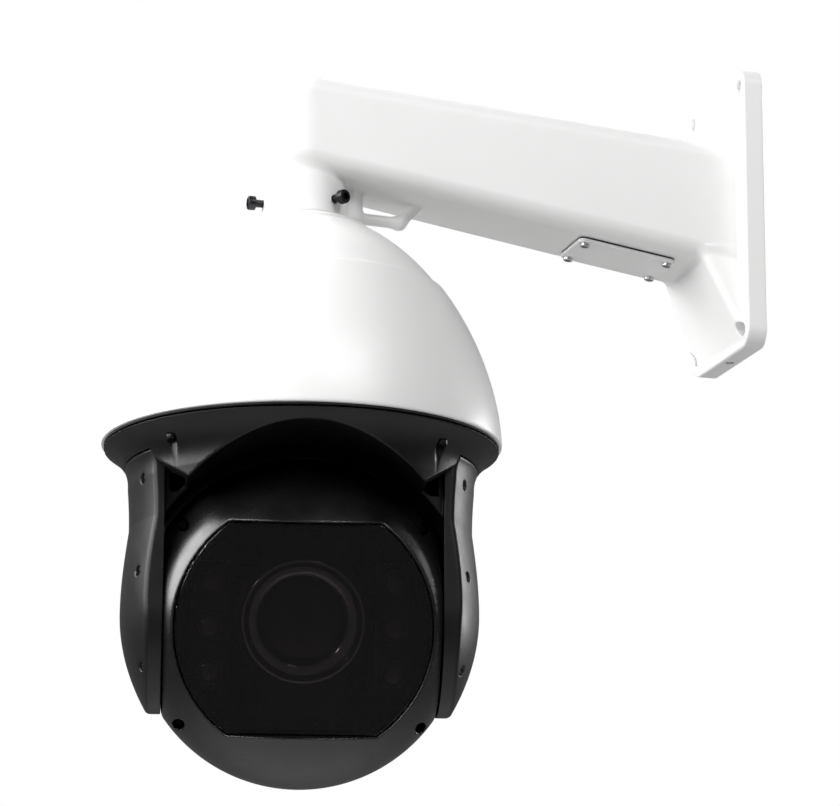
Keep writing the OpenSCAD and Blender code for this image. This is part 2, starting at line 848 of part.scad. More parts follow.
module arm_cover_right_side() {
    difference() {
        intersection() {
            head_solid(arm_seam_z - 0.5, ball_z - arm_half - 1);
            translate([0, 0, ball_z]) arm_side(arm_half, arm_seam_z - 0.5);
            translate([arm_in, -100, ball_z - 100]) cube([60, 200, 200]);
        }
        intersection() {
            head_solid(arm_seam_z - 3.5, ball_z - arm_half + 2, skin);
            translate([0, 0, ball_z]) arm_side(arm_half - skin, arm_seam_z - 3.5);
        }
        translate([arm_in - 1, skin + 0.2 - arm_half, arm_seam_z - skin - 1.5])
            cube([5.3, 2 * (arm_half - skin - 0.2), skin + 2]);
        arm_bolt_spots() along_x(1.8, 150);
        arm_bolt_spots() translate([$seat, 0, 0]) along_x(3.2, 30);
    }
    intersection() {
        difference() {
            arm_bolt_spots() translate([tray_boss_x + gap, 0, 0]) along_x(bolt_boss_r, 20);
            arm_bolt_spots() along_x(1.8, 150);
            arm_bolt_spots() translate([$seat, 0, 0]) along_x(3.2, 30);
        }
        head_solid(arm_seam_z - 0.5, ball_z - arm_half - 1, 1);
    }
}

module right_arm_cover() {
    color(black_shell) head() arm_cover_right_side();
}

module left_arm_cover() {
    color(black_shell) head() mirror([1, 0, 0]) arm_cover_right_side();
}

module arm_cover_bolts() {
    color(steel)
        head() mirror_x()
            arm_bolt_spots() translate([$seat, 0, 0]) rotate([0, -90, 0])
                screw(1.4, $seat - arm_in - 2.2, 2.9, 2);
}

module tilt_bearings() {
    color(steel)
        head() mirror_x() translate([tilt_bearing_x[0], 0, ball_z])
            difference() {
                along_x(tilt_bearing_r, tilt_bearing_x[1] - tilt_bearing_x[0]);
                translate([-1, 0, 0]) along_x(hub_r + run, 10);
            }
}

pinion_z = ball_z + tilt_centre;
motor_plate_x = arm_in + 12;

module tilt_motor() {
    color([0.2, 0.2, 0.22])
        head() translate([motor_plate_x + 1.5, 0, pinion_z]) {
            along_x(tilt_motor_r, 7);
            translate([-7, 0, 0]) along_x(1.5, 8);
        }
}

module tilt_motor_bracket() {
    color(steel)
        head()
            difference() {
                translate([motor_plate_x, -25, pinion_z - 4]) cube([1.5, 50, 26]);
                translate([motor_plate_x - 1, 0, pinion_z]) along_x(3, 5);
            }
}

module tilt_pinion() {
    color(brass_yellow)
        head() translate([tilt_gear_x - 0.2, 0, pinion_z]) rotate([0, 90, 0])
            rotate([0, 0, 180 / tilt_pinion_teeth]) gear(tilt_pinion_teeth, tilt_gear_t + 0.4, 1.5 + run);
}

// ---------- ball ----------

// A flat disc across the lens axis with its top and bottom cut off: front face at y = -front
module window_disc(r, h, front, back) {
    intersection() {
        translate([0, -back, 0]) forward(r, front - back);
        translate([-r - 1, -front - 1, -h / 2]) cube([2 * r + 2, front - back + 2, h]);
    }
}

module ball_screw_spots() {
    for (x = [-1, 1], z = [-1, 1]) translate([x * ball_screw_x, 0, z * ball_screw_z]) children();
}

module ball_slab(y0, y1) {
    translate([-ball_r - 1, y0, -ball_r - 1]) cube([2 * ball_r + 2, y1 - y0, 2 * ball_r + 2]);
}

// The ball's form: round about the tilt axis, with a flat on each side
module ball_form(inset, n = 36) {
    r = ball_r - inset;
    half = ball_w / 2 - inset;
    reach_a = asin(half / r);
    rotate([0, 90, 0])
        rotate_extrude($fn = 144)
            polygon(concat([[0, -half]],
                [for (i = [0:n]) let (a = -reach_a + 2 * reach_a * i / n) r * [cos(a), sin(a)]],
                [[0, half]]));
}

module ball_front() {
    brow_z = window_h / 2 + ball_wall;
    color(black_shell)
        ball()
            difference() {
                union() {
                    difference() {
                        intersection() {
                            ball_form(0);
                            ball_slab(-ball_r - 1, split_y);
                        }
                        translate([-ball_r, -ball_r - 1, -window_h / 2])
                            cube([2 * ball_r, ball_r + 1 - window_y, window_h]);
                        intersection() {
                            ball_form(ball_wall);
                            union() {
                                ball_slab(-lip_y[1], split_y + 1);
                                for (z = [brow_z, -brow_z - 30]) translate([-ball_r, -ball_r, z])
                                    cube([2 * ball_r, ball_r, 30]);
                            }
                        }
                    }
                    intersection() {
                        ball_screw_spots() translate([0, split_y, 0]) forward(5.5, 36);
                        ball_form(0.5);
                    }
                }
                window_disc(lip_r, window_h - 8, window_y + 1, lip_y[1] - 1);
                window_disc(glass_r + gap, window_h - 0.4, window_y + 1, lip_y[0]);
                ball_screw_spots() {
                    translate([0, -8, 0]) forward(3.7, 90);
                    translate([0, split_y + 1, 0]) forward(1.6, 60);
                }
                translate([-ball_r, 0, 0]) along_x(hub_r + 0.1, 2 * ball_r);
            }
}

module ball_rear() {
    back = split_y + seal_t;
    color(black_shell)
        ball()
            difference() {
                union() {
                    difference() {
                        intersection() {
                            ball_form(0);
                            ball_slab(back, ball_r + 1);
                        }
                        ball_form(ball_wall);
                    }
                    intersection() {
                        ball_screw_spots() translate([0, back + 14, 0]) forward(5.5, 14);
                        ball_form(0.5);
                    }
                }
                ball_screw_spots() translate([0, back + 7, 0]) forward(1.5, 20);
            }
}

module ball_seal() {
    color(rubber_black)
        ball()
            difference() {
                intersection() {
                    ball_form(0.5);
                    ball_slab(split_y, split_y + seal_t);
                }
                ball_form(ball_wall - 0.5);
                ball_screw_spots() translate([0, split_y + 5, 0]) forward(1.6, 10);
            }
}

module ball_screws() {
    color(steel)
        ball() ball_screw_spots() translate([0, -8, 0]) rotate([-90, 0, 0]) screw(1.4, 38, 3.2, 3);
}

module window_glass() {
    color([0.05, 0.05, 0.06, 0.6])
        ball() window_disc(glass_r, window_h - 1, lip_y[0] + 0.8 + glass_t, lip_y[0] + 0.8);
}

module window_gasket() {
    color(rubber_black)
        ball()
            difference() {
                window_disc(glass_r - 0.3, window_h - 1.6, lip_y[0] + 0.8, lip_y[0]);
                window_disc(lip_r + 0.6, window_h - 7, lip_y[0] + 2, lip_y[0] - 1);
            }
}

module tilt_hubs() {
    inner = ball_w / 2 - ball_wall;
    color(alloy)
        ball()
            for (side = [[1, tilt_gear_x + tilt_gear_t + 0.4], [-1, tilt_bearing_x[1] + 1]])
                mirror([side[0] < 0 ? 1 : 0, 0, 0])
                    difference() {
                        union() {
                            translate([inner - 2.2, 0, 0]) along_x(20, 2.2);
                            translate([inner - 2.2, 0, 0]) along_x(hub_r, side[1] - inner + 2.2);
                        }
                        translate([inner - 4, 0, 0]) along_x(hub_bore, 30);
                    }
}

module tilt_gear() {
    color(brass_yellow)
        head() translate([tilt_gear_x, 0, ball_z]) rotate([0, 90, 0])
            gear(tilt_teeth, tilt_gear_t, hub_r + run);
}

// ---------- camera inside the ball ----------

module lens_axis() {
    ball() translate([0, 0, lens_z]) children();
}

module camera_chassis() {
    w = chassis_box[0];
    h = chassis_box[2];
    wing = ball_w / 2 - ball_wall - 2.5;
    color([0.15, 0.15, 0.16])
        lens_axis()
            difference() {
                union() {
                    translate([-w / 2, chassis_y, -h / 2]) cube(chassis_box);
                    mirror_x() {
                        translate([barrel_r + 0.4, chassis_y - 32, -8]) cube([wing - barrel_r - 0.4, 3, 16]);
                        translate([barrel_r + 0.4, chassis_y - 32, -8]) cube([3, 35.5, 16]);
                        translate([w / 2 - 1, chassis_y + 0.5, -8]) cube([barrel_r + 4.4 - w / 2, 3, 16]);
                    }
                }
                translate([-w / 2 + 3, chassis_y + 3, -h / 2 + 3]) cube([w - 6, chassis_box[1] - 2, h - 6]);
                translate([0, chassis_y + 4, 0]) forward(barrel_bore - 8, 6);
            }
}

module sensor_board() {
    color(board_green)
        lens_axis() {
            translate([-26, 52, -22]) cube([52, 1.6, 44]);
            translate([-8, 49, -6]) cube([16, 3, 12]);
        }
}

module camera_bezel() {
    color([0.12, 0.12, 0.13])
        ball()
            difference() {
                union() {
                    translate([-27, -51, -58]) cube([54, 2, 116]);
                    translate([0, -49, lens_z]) forward(lens_d / 2 + 4, 2);
                }
                translate([0, -45, lens_z]) forward(lens_d / 2 + gap, 10);
            }
}

module lens_barrel() {
    color([0.08, 0.08, 0.09])
        lens_axis()
            difference() {
                translate([0, chassis_y, 0]) forward(barrel_r, 78.5);
                translate([0, chassis_y - 3, 0]) forward(barrel_bore, 85);
                translate([0, chassis_y + 1, 0]) forward(barrel_bore - 9, 10);
            }
}

module lens_ring() {
    color([0.3, 0.3, 0.32])
        lens_axis() translate([0, -5, 0]) rotate([90, 0, 0])
            rotate_extrude()
                polygon([[24, 38], [24, 40], [31, 43.5], [31, 44], [36, 44], [36, 50], [lens_d / 2 - 0.6, 50],
                         [lens_d / 2, 49.4], [lens_d / 2, 43.7], [30.8, 43.7], [30.8, 38]]);
}

// A biconvex glass of radius r: the two faces bulge by front and back
module lens_glass(r, edge, front, back, n = 8) {
    rotate([90, 0, 0])
        rotate_extrude()
            polygon(concat(
                [for (i = [0:n]) let (q = r * i / n) [q, edge / 2 + front * (1 - pow(q / r, 2))]],
                [for (i = [n:-1:0]) let (q = r * i / n) [q, -edge / 2 - back * (1 - pow(q / r, 2))]]));
}

module front_lens() {
    color([0.2, 0.22, 0.35, 0.6])
        lens_axis() translate([0, -39, 0]) lens_glass(30.5, 5, 3, 1);
}

// A lens cell that slides in the barrel, with its glass
module lens_cell(cell_r, glass, t) {
    rotate([90, 0, 0]) difference() {
        cylinder(r = cell_r, h = t, center = true);
        cylinder(r = glass, h = t + 1, center = true);
    }
    lens_glass(glass + 0.3, t * 0.5, 1.5, 1);
}

module zoom_group() {
    color([0.1, 0.1, 0.11])
        lens_axis() translate([0, -20, 0]) lens_cell(barrel_bore - 0.08, 20, 8);
}

module focus_group() {
    color([0.1, 0.1, 0.11])
        lens_axis() translate([0, 16, 0]) lens_cell(barrel_bore - 0.08, 16, 6);
}

module ir_cut_filter() {
    color([0.3, 0.5, 0.6])
        lens_axis() translate([-17, 37, -10]) cube([24, 2, 20]);
}

led_z = [-28, 0, 28];

module led_boards() {
    color(board_green)
        ball() mirror_x() translate([led_x - 12, -43, -40]) cube([24, 1.6, 80]);
}

module led_lenses() {
    color([0.2, 0.2, 0.22])
        ball() mirror_x() for (z = led_z) translate([led_x, -43, z]) forward(9, 6);
}

module led_heat_sinks() {
    color(alloy)
        ball() mirror_x() {
            translate([led_x - 12, -41.4, -40]) cube([24, 3, 80]);
            for (x = [0:5]) translate([led_x - 12 + 4.4 * x, -38.6, -40]) cube([2, 12, 80]);
        }
}

wall_plate();
bracket_arm();
bracket_tube();
safety_loop();
arm_cover();
arm_cover_gasket();
arm_cover_screws();
locking_screws();
neck_pipe();
neck_o_ring();
top_cap();
top_cap_seal();
top_cap_screws();
dome_shell();
rim_gasket();
chassis_plate();
chassis_screws();
board_standoffs();
main_board();
power_board();
pan_motor();
pan_bearing_outer();
slip_ring_stator();
slip_ring_bridge();
pan_pinion();
turntable();
pan_gear();
pan_bearing_inner();
pan_bearing_balls();
pan_circlip();
slip_ring_rotor();
yoke();
yoke_screws();
left_arm_cover();
right_arm_cover();
arm_cover_bolts();
tilt_bearings();
tilt_motor();
tilt_motor_bracket();
tilt_pinion();
ball_front();
ball_rear();
ball_seal();
ball_screws();
window_glass();
window_gasket();
tilt_hubs();
tilt_gear();
camera_chassis();
sensor_board();
camera_bezel();
lens_barrel();
lens_ring();
front_lens();
zoom_group();
focus_group();
ir_cut_filter();
led_boards();
led_lenses();
led_heat_sinks();
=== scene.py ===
import json
import math

import bpy
import numpy as np
from mathutils import Matrix, Vector


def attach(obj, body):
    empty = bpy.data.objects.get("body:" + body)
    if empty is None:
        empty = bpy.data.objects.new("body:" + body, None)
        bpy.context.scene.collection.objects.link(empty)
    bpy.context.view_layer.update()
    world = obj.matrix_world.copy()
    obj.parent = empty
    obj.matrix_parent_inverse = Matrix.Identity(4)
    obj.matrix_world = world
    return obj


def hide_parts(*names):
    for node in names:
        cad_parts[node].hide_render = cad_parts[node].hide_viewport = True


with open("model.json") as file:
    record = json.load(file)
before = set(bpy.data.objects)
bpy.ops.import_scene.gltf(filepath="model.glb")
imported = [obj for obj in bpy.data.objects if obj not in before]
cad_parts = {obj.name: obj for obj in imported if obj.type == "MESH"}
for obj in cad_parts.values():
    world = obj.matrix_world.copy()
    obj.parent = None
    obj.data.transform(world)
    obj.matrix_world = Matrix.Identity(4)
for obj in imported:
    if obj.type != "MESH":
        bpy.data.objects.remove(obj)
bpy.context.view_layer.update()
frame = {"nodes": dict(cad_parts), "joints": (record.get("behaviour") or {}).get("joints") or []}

# Wall-mounted pan-tilt-zoom dome camera. Shapes are worked out in millimetres and placed in metres.
# Origin: centre of the wall plate's back face. +Y goes into the wall, +Z is up.

MM = 0.001
FINE = 1.0

JOINTS = {j["name"]: j for j in frame["joints"]}
PAN_Y = JOINTS["pan"]["pos_m"][1] / MM
HUB = Vector(JOINTS["tilt"]["pos_m"]) / MM
SIDE = Vector(JOINTS["tilt"]["axis"]).normalized()
LENS = Vector(JOINTS["zoom"]["axis"]).normalized()
UP = Vector((0, 0, 1))


def placing(origin, x, z):
    """Matrix from a local frame to the row frame: local x and z go along the given directions."""
    x, z = x.normalized(), z.normalized()
    y = z.cross(x)
    m = Matrix((x, y, z)).transposed().to_4x4()
    m.translation = origin
    return m


ROW = Matrix.Identity(4)
DOME = Matrix.Translation((0, PAN_Y, 0))
HEAD = placing(Vector((0, PAN_Y, 0)), SIDE, UP)
BALL = placing(HUB, SIDE, SIDE.cross(-LENS))


# ---------- distance fields, in millimetres, negative inside ----------

def both(a, b, r=0.0):
    """Where a and b overlap, with the edge between them rounded to radius r."""
    if r == 0:
        return np.maximum(a, b)
    return np.minimum(np.maximum(a, b), -r) + np.hypot(np.maximum(a + r, 0), np.maximum(b + r, 0))


def either(a, b, r=0.0):
    """a and b together, with the corner between them filled to radius r."""
    if r == 0:
        return np.minimum(a, b)
    return np.maximum(np.minimum(a, b), r) - np.hypot(np.maximum(r - a, 0), np.maximum(r - b, 0))


def without(a, b, r=0.0):
    """a with b cut out of it, with the edge of the cut rounded to radius r."""
    return both(a, -b, r)


def between(v, low, high):
    return np.abs(v - (low + high) / 2) - (high - low) / 2


def rectangle(u, v, half_u, half_v, r):
    """A rectangle with its corners rounded to radius r."""
    qu = np.abs(u) - (half_u - r)
    qv = np.abs(v) - (half_v - r)
    return np.hypot(np.maximum(qu, 0), np.maximum(qv, 0)) + np.minimum(np.maximum(qu, qv), 0) - r


def bar(x, y, z, a, b, r):
    """A round bar from a to b with round ends."""
    a, b = np.array(a, float), np.array(b, float)
    d = b - a
    t = np.clip(((x - a[0]) * d[0] + (y - a[1]) * d[1] + (z - a[2]) * d[2]) / (d @ d), 0, 1)
    return np.sqrt((x - a[0] - t * d[0]) ** 2 + (y - a[1] - t * d[1]) ** 2 + (z - a[2] - t * d[2]) ** 2) - r


def line(u, v, a, b):
    """Half-plane to the left of the line from a to b."""
    du, dv = b[0] - a[0], b[1] - a[1]
    return ((u - a[0]) * dv - (v - a[1]) * du) / math.hypot(du, dv)


# ---------- mesh of a field ----------

BLOCK = 8


def sampled(field, low, count, step):
    """Values of the field on a grid. Blocks that the surface doesn't reach hold one value each."""
    blocks = count // BLOCK
    place = np.stack(np.meshgrid(*[np.arange(b) for b in blocks], indexing="ij"), -1).reshape(-1, 3)
    middle = low + (place * BLOCK + (BLOCK - 1) / 2) * step
    far = field(*middle.T)
    grid = np.empty(count, np.float32)
    view = grid.reshape(blocks[0], BLOCK, blocks[1], BLOCK, blocks[2], BLOCK).transpose(0, 2, 4, 1, 3, 5)
    view[...] = far.reshape(*blocks, 1, 1, 1)
    near = place[np.abs(far) < BLOCK * step * 1.4]
    inner = np.stack(np.meshgrid(*[np.arange(BLOCK)] * 3, indexing="ij"), -1).reshape(-1, 3)
    for part in np.array_split(near, max(1, len(near) // 1500)):
        points = low + (part[:, None] * BLOCK + inner[None]) * step
        values = field(*points.reshape(-1, 3).T).reshape(-1, BLOCK, BLOCK, BLOCK)
        view[part[:, 0], part[:, 1], part[:, 2]] = values
    return grid


def slope_of(field, p, h):
    """Gradient of the field at points p."""
    g = np.empty_like(p)
    for k in range(3):
        q = p.copy()
        q[:, k] += h
        up = field(*q.T)
        q[:, k] -= 2 * h
        g[:, k] = (up - field(*q.T)) / (2 * h)
    return g


def surface(name, field, low, high, step, place=ROW):
    """An object with the surface where the field is zero, inside the box low to high."""
    step = step * FINE
    low = np.array(low, float) - 2.3 * step
    count = np.ceil((np.array(high, float) - low) / step).astype(int) + 3
    count = (count + BLOCK - 1) // BLOCK * BLOCK
    grid = sampled(field, low, count, step)
    inside = grid < 0
    filled = np.zeros(count - 1, np.uint8)
    for o in np.ndindex(2, 2, 2):
        filled += inside[o[0]:count[0] - 1 + o[0], o[1]:count[1] - 1 + o[1], o[2]:count[2] - 1 + o[2]]
    active = (filled > 0) & (filled < 8)
    cells = np.argwhere(active)
    index = np.full(count - 1, -1, np.int64)
    index[active] = np.arange(len(cells))
    total = np.zeros((len(cells), 3))
    hits = np.zeros((len(cells), 1))
    for axis in range(3):
        for corner in np.ndindex(2, 2):
            a = np.insert(np.array(corner), axis, 0)
            b = a.copy()
            b[axis] = 1
            va = grid[tuple((cells + a).T)].astype(float)
            vb = grid[tuple((cells + b).T)].astype(float)
            crossed = (va < 0) != (vb < 0)
            t = np.where(crossed, va / np.where(crossed, va - vb, 1), 0)[:, None]
            total += np.where(crossed[:, None], a + t * (b - a), 0)
            hits += crossed[:, None]
    points = low + (cells + total / hits) * step
    for _ in range(3):
        g = slope_of(field, points, 0.02)
        move = field(*points.T)[:, None] * g / np.maximum((g * g).sum(1, keepdims=True), 0.2)
        points -= np.clip(move, -0.5 * step, 0.5 * step)
    quads = []
    for axis in range(3):
        b, c = (axis + 1) % 3, (axis + 2) % 3
        cut = [slice(1, -1)] * 3
        cut[axis] = slice(0, -1)
        ahead = list(cut)
        ahead[axis] = slice(1, None)
        first, second = inside[tuple(cut)], inside[tuple(ahead)]
        for one, other, flip in ((first, ~second, False), (~first, second, True)):
            at = np.argwhere(one & other)
            at[:, b] += 1
            at[:, c] += 1
            corners = []
            for db, dc in ((1, 1), (0, 1), (0, 0), (1, 0)):
                q = at.copy()
                q[:, b] -= db
                q[:, c] -= dc
                corners.append(index[tuple(q.T)])
            quad = np.stack(corners, 1)
            quads.append(quad[:, ::-1] if flip else quad)
    quads = np.concatenate(quads)
    normals = slope_of(field, points, 0.25)
    normals /= np.maximum(np.linalg.norm(normals, axis=1, keepdims=True), 1e-9)
    turn = np.array(place.to_3x3())
    points = (points @ turn.T + np.array(place.translation)) * MM
    mesh = bpy.data.meshes.new(name)
    mesh.vertices.add(len(points))
    mesh.vertices.foreach_set("co", points.astype(np.float32).ravel())
    mesh.loops.add(quads.size)
    mesh.loops.foreach_set("vertex_index", quads.astype(np.int32).ravel())
    mesh.polygons.add(len(quads))
    mesh.polygons.foreach_set("loop_start", np.arange(0, quads.size, 4, dtype=np.int32))
    mesh.polygons.foreach_set("use_smooth", np.ones(len(quads), bool))
    mesh.update(calc_edges=True)
    mesh.validate()
    mesh.normals_split_custom_set_from_vertices((normals @ turn.T).tolist())
    return new_object(name, mesh)


def new_object(name, mesh):
    o = bpy.data.objects.new(name, mesh)
    bpy.context.scene.collection.objects.link(o)
    return o


# ---------- turned shapes ----------

SHARP = math.radians(32)



def hexagon(angle, flat):
    """Distance from the centre to a hexagon's edge, at an angle."""
    return flat / np.cos((angle % (math.pi / 3)) - math.pi / 6)


def turned_mesh(name, rings, sides=96, closed=False):
    """Mesh turned about local z. A ring is (radius, z), or (half the width across flats, z, "hex")."""
    angle = 2 * math.pi * np.arange(sides) / sides
    verts, faces = [], []
    rows = []
    for ring in rings:
        if ring[0] == 0:
            rows.append([len(verts)])
            verts.append((0, 0, ring[1]))
            continue
        r = hexagon(angle, ring[0]) if len(ring) > 2 else np.full(sides, ring[0])
        rows.append(range(len(verts), len(verts) + sides))
        verts.extend(zip(r * np.cos(angle), r * np.sin(angle), np.full(sides, ring[1])))
    pairs = list(zip(rows, rows[1:])) + ([(rows[-1], rows[0])] if closed else [])
    for a, b in pairs:
        for i in range(sides):
            j = (i + 1) % sides
            quad = (a[i] if len(a) > 1 else a[0], a[j] if len(a) > 1 else a[0],
                    b[j] if len(b) > 1 else b[0], b[i] if len(b) > 1 else b[0])
            faces.append(tuple(dict.fromkeys(quad)))
    mesh = bpy.data.meshes.new(name)
    mesh.from_pydata([tuple(v) for v in verts], [], faces)
    mesh.polygons.foreach_set("use_smooth", np.ones(len(faces), bool))
    mesh.update()
    mesh.set_sharp_from_angle(angle=SHARP)
    return mesh


def turned(name, rings, place, sides=96, closed=False):
    """A turned piece with its z axis placed by the matrix, in the row frame."""
    mesh = turned_mesh(name, rings, sides, closed)
    mesh.transform(Matrix.Scale(MM, 4) @ place)
    return new_object(name, mesh)


def copies(name, mesh, places):
    """One object holding a copy of the mesh at each place."""
    out = bpy.data.meshes.new(name)
    verts = np.empty(len(mesh.vertices) * 3)
    mesh.vertices.foreach_get("co", verts)
    verts = verts.reshape(-1, 3)
    faces = [tuple(p.vertices) for p in mesh.polygons]
    all_verts, all_faces = [], []
    for m in places:
        shift = len(all_verts)
        moved = (verts @ np.array(m.to_3x3()).T + np.array(m.translation)) * MM
        all_verts.extend(map(tuple, moved))
        all_faces.extend(tuple(v + shift for v in f) for f in faces)
    out.from_pydata(all_verts, [], all_faces)
    out.polygons.foreach_set("use_smooth", np.ones(len(all_faces), bool))
    out.update()
    out.set_sharp_from_angle(angle=SHARP)
    return new_object(name, out)


def socket_screw(head_r, head_h, shank_r, length):
    """Rings of a hexagon-socket screw: its head is below z = 0 and its shank goes up."""
    key, c = head_r * 0.5, head_h * 0.14
    return [(0, -head_h * 0.42), (key * 0.98, -head_h * 0.45, "hex"), (key, -head_h + c * 0.8, "hex"),
            (key * 1.1, -head_h), (head_r - c * 1.6, -head_h), (head_r - c * 0.5, -head_h + c * 0.5),
            (head_r, -head_h + c * 1.6), (head_r, -c * 0.6), (head_r - c * 0.6, 0), (shank_r, 0),
            (shank_r, length - shank_r * 0.4), (shank_r * 0.6, length), (0, length)]


def at(place, x, y, z, turn=None):
    m = place @ Matrix.Translation((x, y, z))
    return m @ turn if turn else m


def rot(axis, degrees):
    return Matrix.Rotation(math.radians(degrees), 4, axis)


# ---------- materials ----------

def material(name, colour, roughness, metallic=0.0, **sockets):
    """A Principled material with its plain values on the shader's own sockets."""
    m = bpy.data.materials.new(name)
    m.use_nodes = True
    shader = m.node_tree.nodes["Principled BSDF"]
    shader.inputs["Base Color"].default_value = (*colour, 1)
    shader.inputs["Roughness"].default_value = roughness
    shader.inputs["Metallic"].default_value = metallic
    for key, value in sockets.items():
        shader.inputs[key.replace("_", " ")].default_value = value
    return m


def node(m, kind, **settings):
    n = m.node_tree.nodes.new(kind)
    for key, value in settings.items():
        if key in n.inputs:
            n.inputs[key].default_value = value
        else:
            setattr(n, key, value)
    return n


def place_of(m):
    """Coordinates of the surface in metres, fixed to the object."""
    return node(m, "ShaderNodeTexCoord").outputs["Object"]


def noise(m, scale, detail=3.0, roughness=0.5):
    n = node(m, "ShaderNodeTexNoise", Scale=scale, Detail=detail, Roughness=roughness)
    m.node_tree.links.new(place_of(m), n.inputs["Vector"])
    return n.outputs["Fac"]


def ramp(m, value, low, high, a, b):
    """Maps value from low..high to a..b."""
    n = node(m, "ShaderNodeMapRange")
    for key, v in zip(("From Min", "From Max", "To Min", "To Max"), (low, high, a, b)):
        n.inputs[key].default_value = v
    m.node_tree.links.new(value, n.inputs["Value"])
    return n.outputs["Result"]


def tint(m, value, low, high, a, b):
    """Colour from a to b as value goes from low to high."""
    n = node(m, "ShaderNodeValToRGB")
    n.color_ramp.elements[0].position, n.color_ramp.elements[0].color = low, (*a, 1)
    n.color_ramp.elements[1].position, n.color_ramp.elements[1].color = high, (*b, 1)
    m.node_tree.links.new(value, n.inputs["Fac"])
    return n.outputs["Color"]


def give(m, socket, output):
    m.node_tree.links.new(output, m.node_tree.nodes["Principled BSDF"].inputs[socket])


def bump(m, heights):
    """Chains bump nodes: each height is (output, distance in metres)."""
    normal = None
    for height, distance in heights:
        n = node(m, "ShaderNodeBump", Strength=1.0, Distance=distance)
        m.node_tree.links.new(height, n.inputs["Height"])
        if normal:
            m.node_tree.links.new(normal, n.inputs["Normal"])
        normal = n.outputs["Normal"]
    give(m, "Normal", normal)


def coated(name, colour, roughness, grain=900, depth=0.00004, spread=0.05, tone=0.04, wave=45, **sockets):
    """Paint or moulded plastic: slight tone drift, patchy gloss, fine grain over a slow ripple."""
    m = material(name, colour, roughness, **sockets)
    low = tuple(max(c * (1 - tone) - 0.0005, 0) for c in colour)
    high = tuple(min(c * (1 + tone * 0.5) + 0.0005, 1) for c in colour)
    give(m, "Base Color", tint(m, noise(m, 14, 4), 0.35, 0.65, low, high))
    give(m, "Roughness", ramp(m, noise(m, 60, 4), 0.3, 0.7, roughness - spread, roughness + spread))
    bump(m, [(noise(m, wave, 2), depth * 1.5), (noise(m, grain, 2), depth)])
    return m


def machined(name, colour, roughness, metallic=1.0, **sockets):
    """Bare or plated metal with fine wear."""
    m = material(name, colour, roughness, metallic, **sockets)
    low = tuple(c * 0.86 for c in colour)
    give(m, "Base Color", tint(m, noise(m, 120, 5), 0.3, 0.7, low, colour))
    give(m, "Roughness", ramp(m, noise(m, 400, 4), 0.3, 0.7, roughness * 0.75, roughness * 1.3))
    bump(m, [(noise(m, 1500, 2), 0.00001)])
    return m


def circuit_board():
    """Green board with pads and traces as a fine cell pattern."""
    m = material("circuit board", (0.03, 0.16, 0.08), 0.45)
    cell = node(m, "ShaderNodeTexVoronoi", Scale=160.0, feature="DISTANCE_TO_EDGE", distance="MANHATTAN")
    m.node_tree.links.new(place_of(m), cell.inputs["Vector"])
    traces, ground = (0.05, 0.27, 0.13), (0.02, 0.12, 0.06)
    give(m, "Base Color", tint(m, cell.outputs["Distance"], 0.02, 0.07, traces, ground))
    bump(m, [(cell.outputs["Distance"], 0.00005)])
    return m


def smoked_window():
    """Dark tinted polycarbonate: light passes through it once weakened, and its face mirrors the room."""
    m = bpy.data.materials.new("smoked window")
    m.use_nodes = True
    tree = m.node_tree
    tree.nodes.remove(tree.nodes["Principled BSDF"])
    through = node(m, "ShaderNodeBsdfTransparent")
    gloss = node(m, "ShaderNodeBsdfGlossy", Roughness=0.06)
    fresnel = node(m, "ShaderNodeFresnel", IOR=1.5)
    mix = node(m, "ShaderNodeMixShader")
    smoke = tint(m, noise(m, 18, 2), 0.3, 0.7, (0.69, 0.64, 0.675), (0.73, 0.67, 0.705))
    tree.links.new(smoke, through.inputs["Color"])
    tree.links.new(ramp(m, noise(m, 90, 3), 0.3, 0.7, 0.04, 0.08), gloss.inputs["Roughness"])
    tree.links.new(fresnel.outputs["Fac"], mix.inputs["Fac"])
    tree.links.new(through.outputs["BSDF"], mix.inputs[1])
    tree.links.new(gloss.outputs["BSDF"], mix.inputs[2])
    tree.links.new(mix.outputs["Shader"], tree.nodes["Material Output"].inputs["Surface"])
    return m


def coated_lens():
    """Front glass of the lens: dark inside, with a purple and green coat tint in patches, and a painted
    purple sheen in its colour towards grazing angles.
    """
    facing, painted_grazing_sheen = (0.002, 0.0015, 0.003), (0.010, 0.005, 0.018)
    purple, green = (0.7, 0.62, 1.0), (0.66, 0.85, 1.0)
    m = material("coated lens", facing, 0.04, Coat_Weight=0.25, Coat_Roughness=0.02, IOR=1.35)
    layer = node(m, "ShaderNodeLayerWeight", Blend=0.35)
    # Painted sheen: the base colour grows lighter and purple towards grazing angles, in place of the
    # coating's reflection.
    give(m, "Base Color", tint(m, layer.outputs["Facing"], 0.1, 0.8, facing, painted_grazing_sheen))
    give(m, "Coat Tint", tint(m, noise(m, 20, 2), 0.3, 0.7, purple, green))
    return m


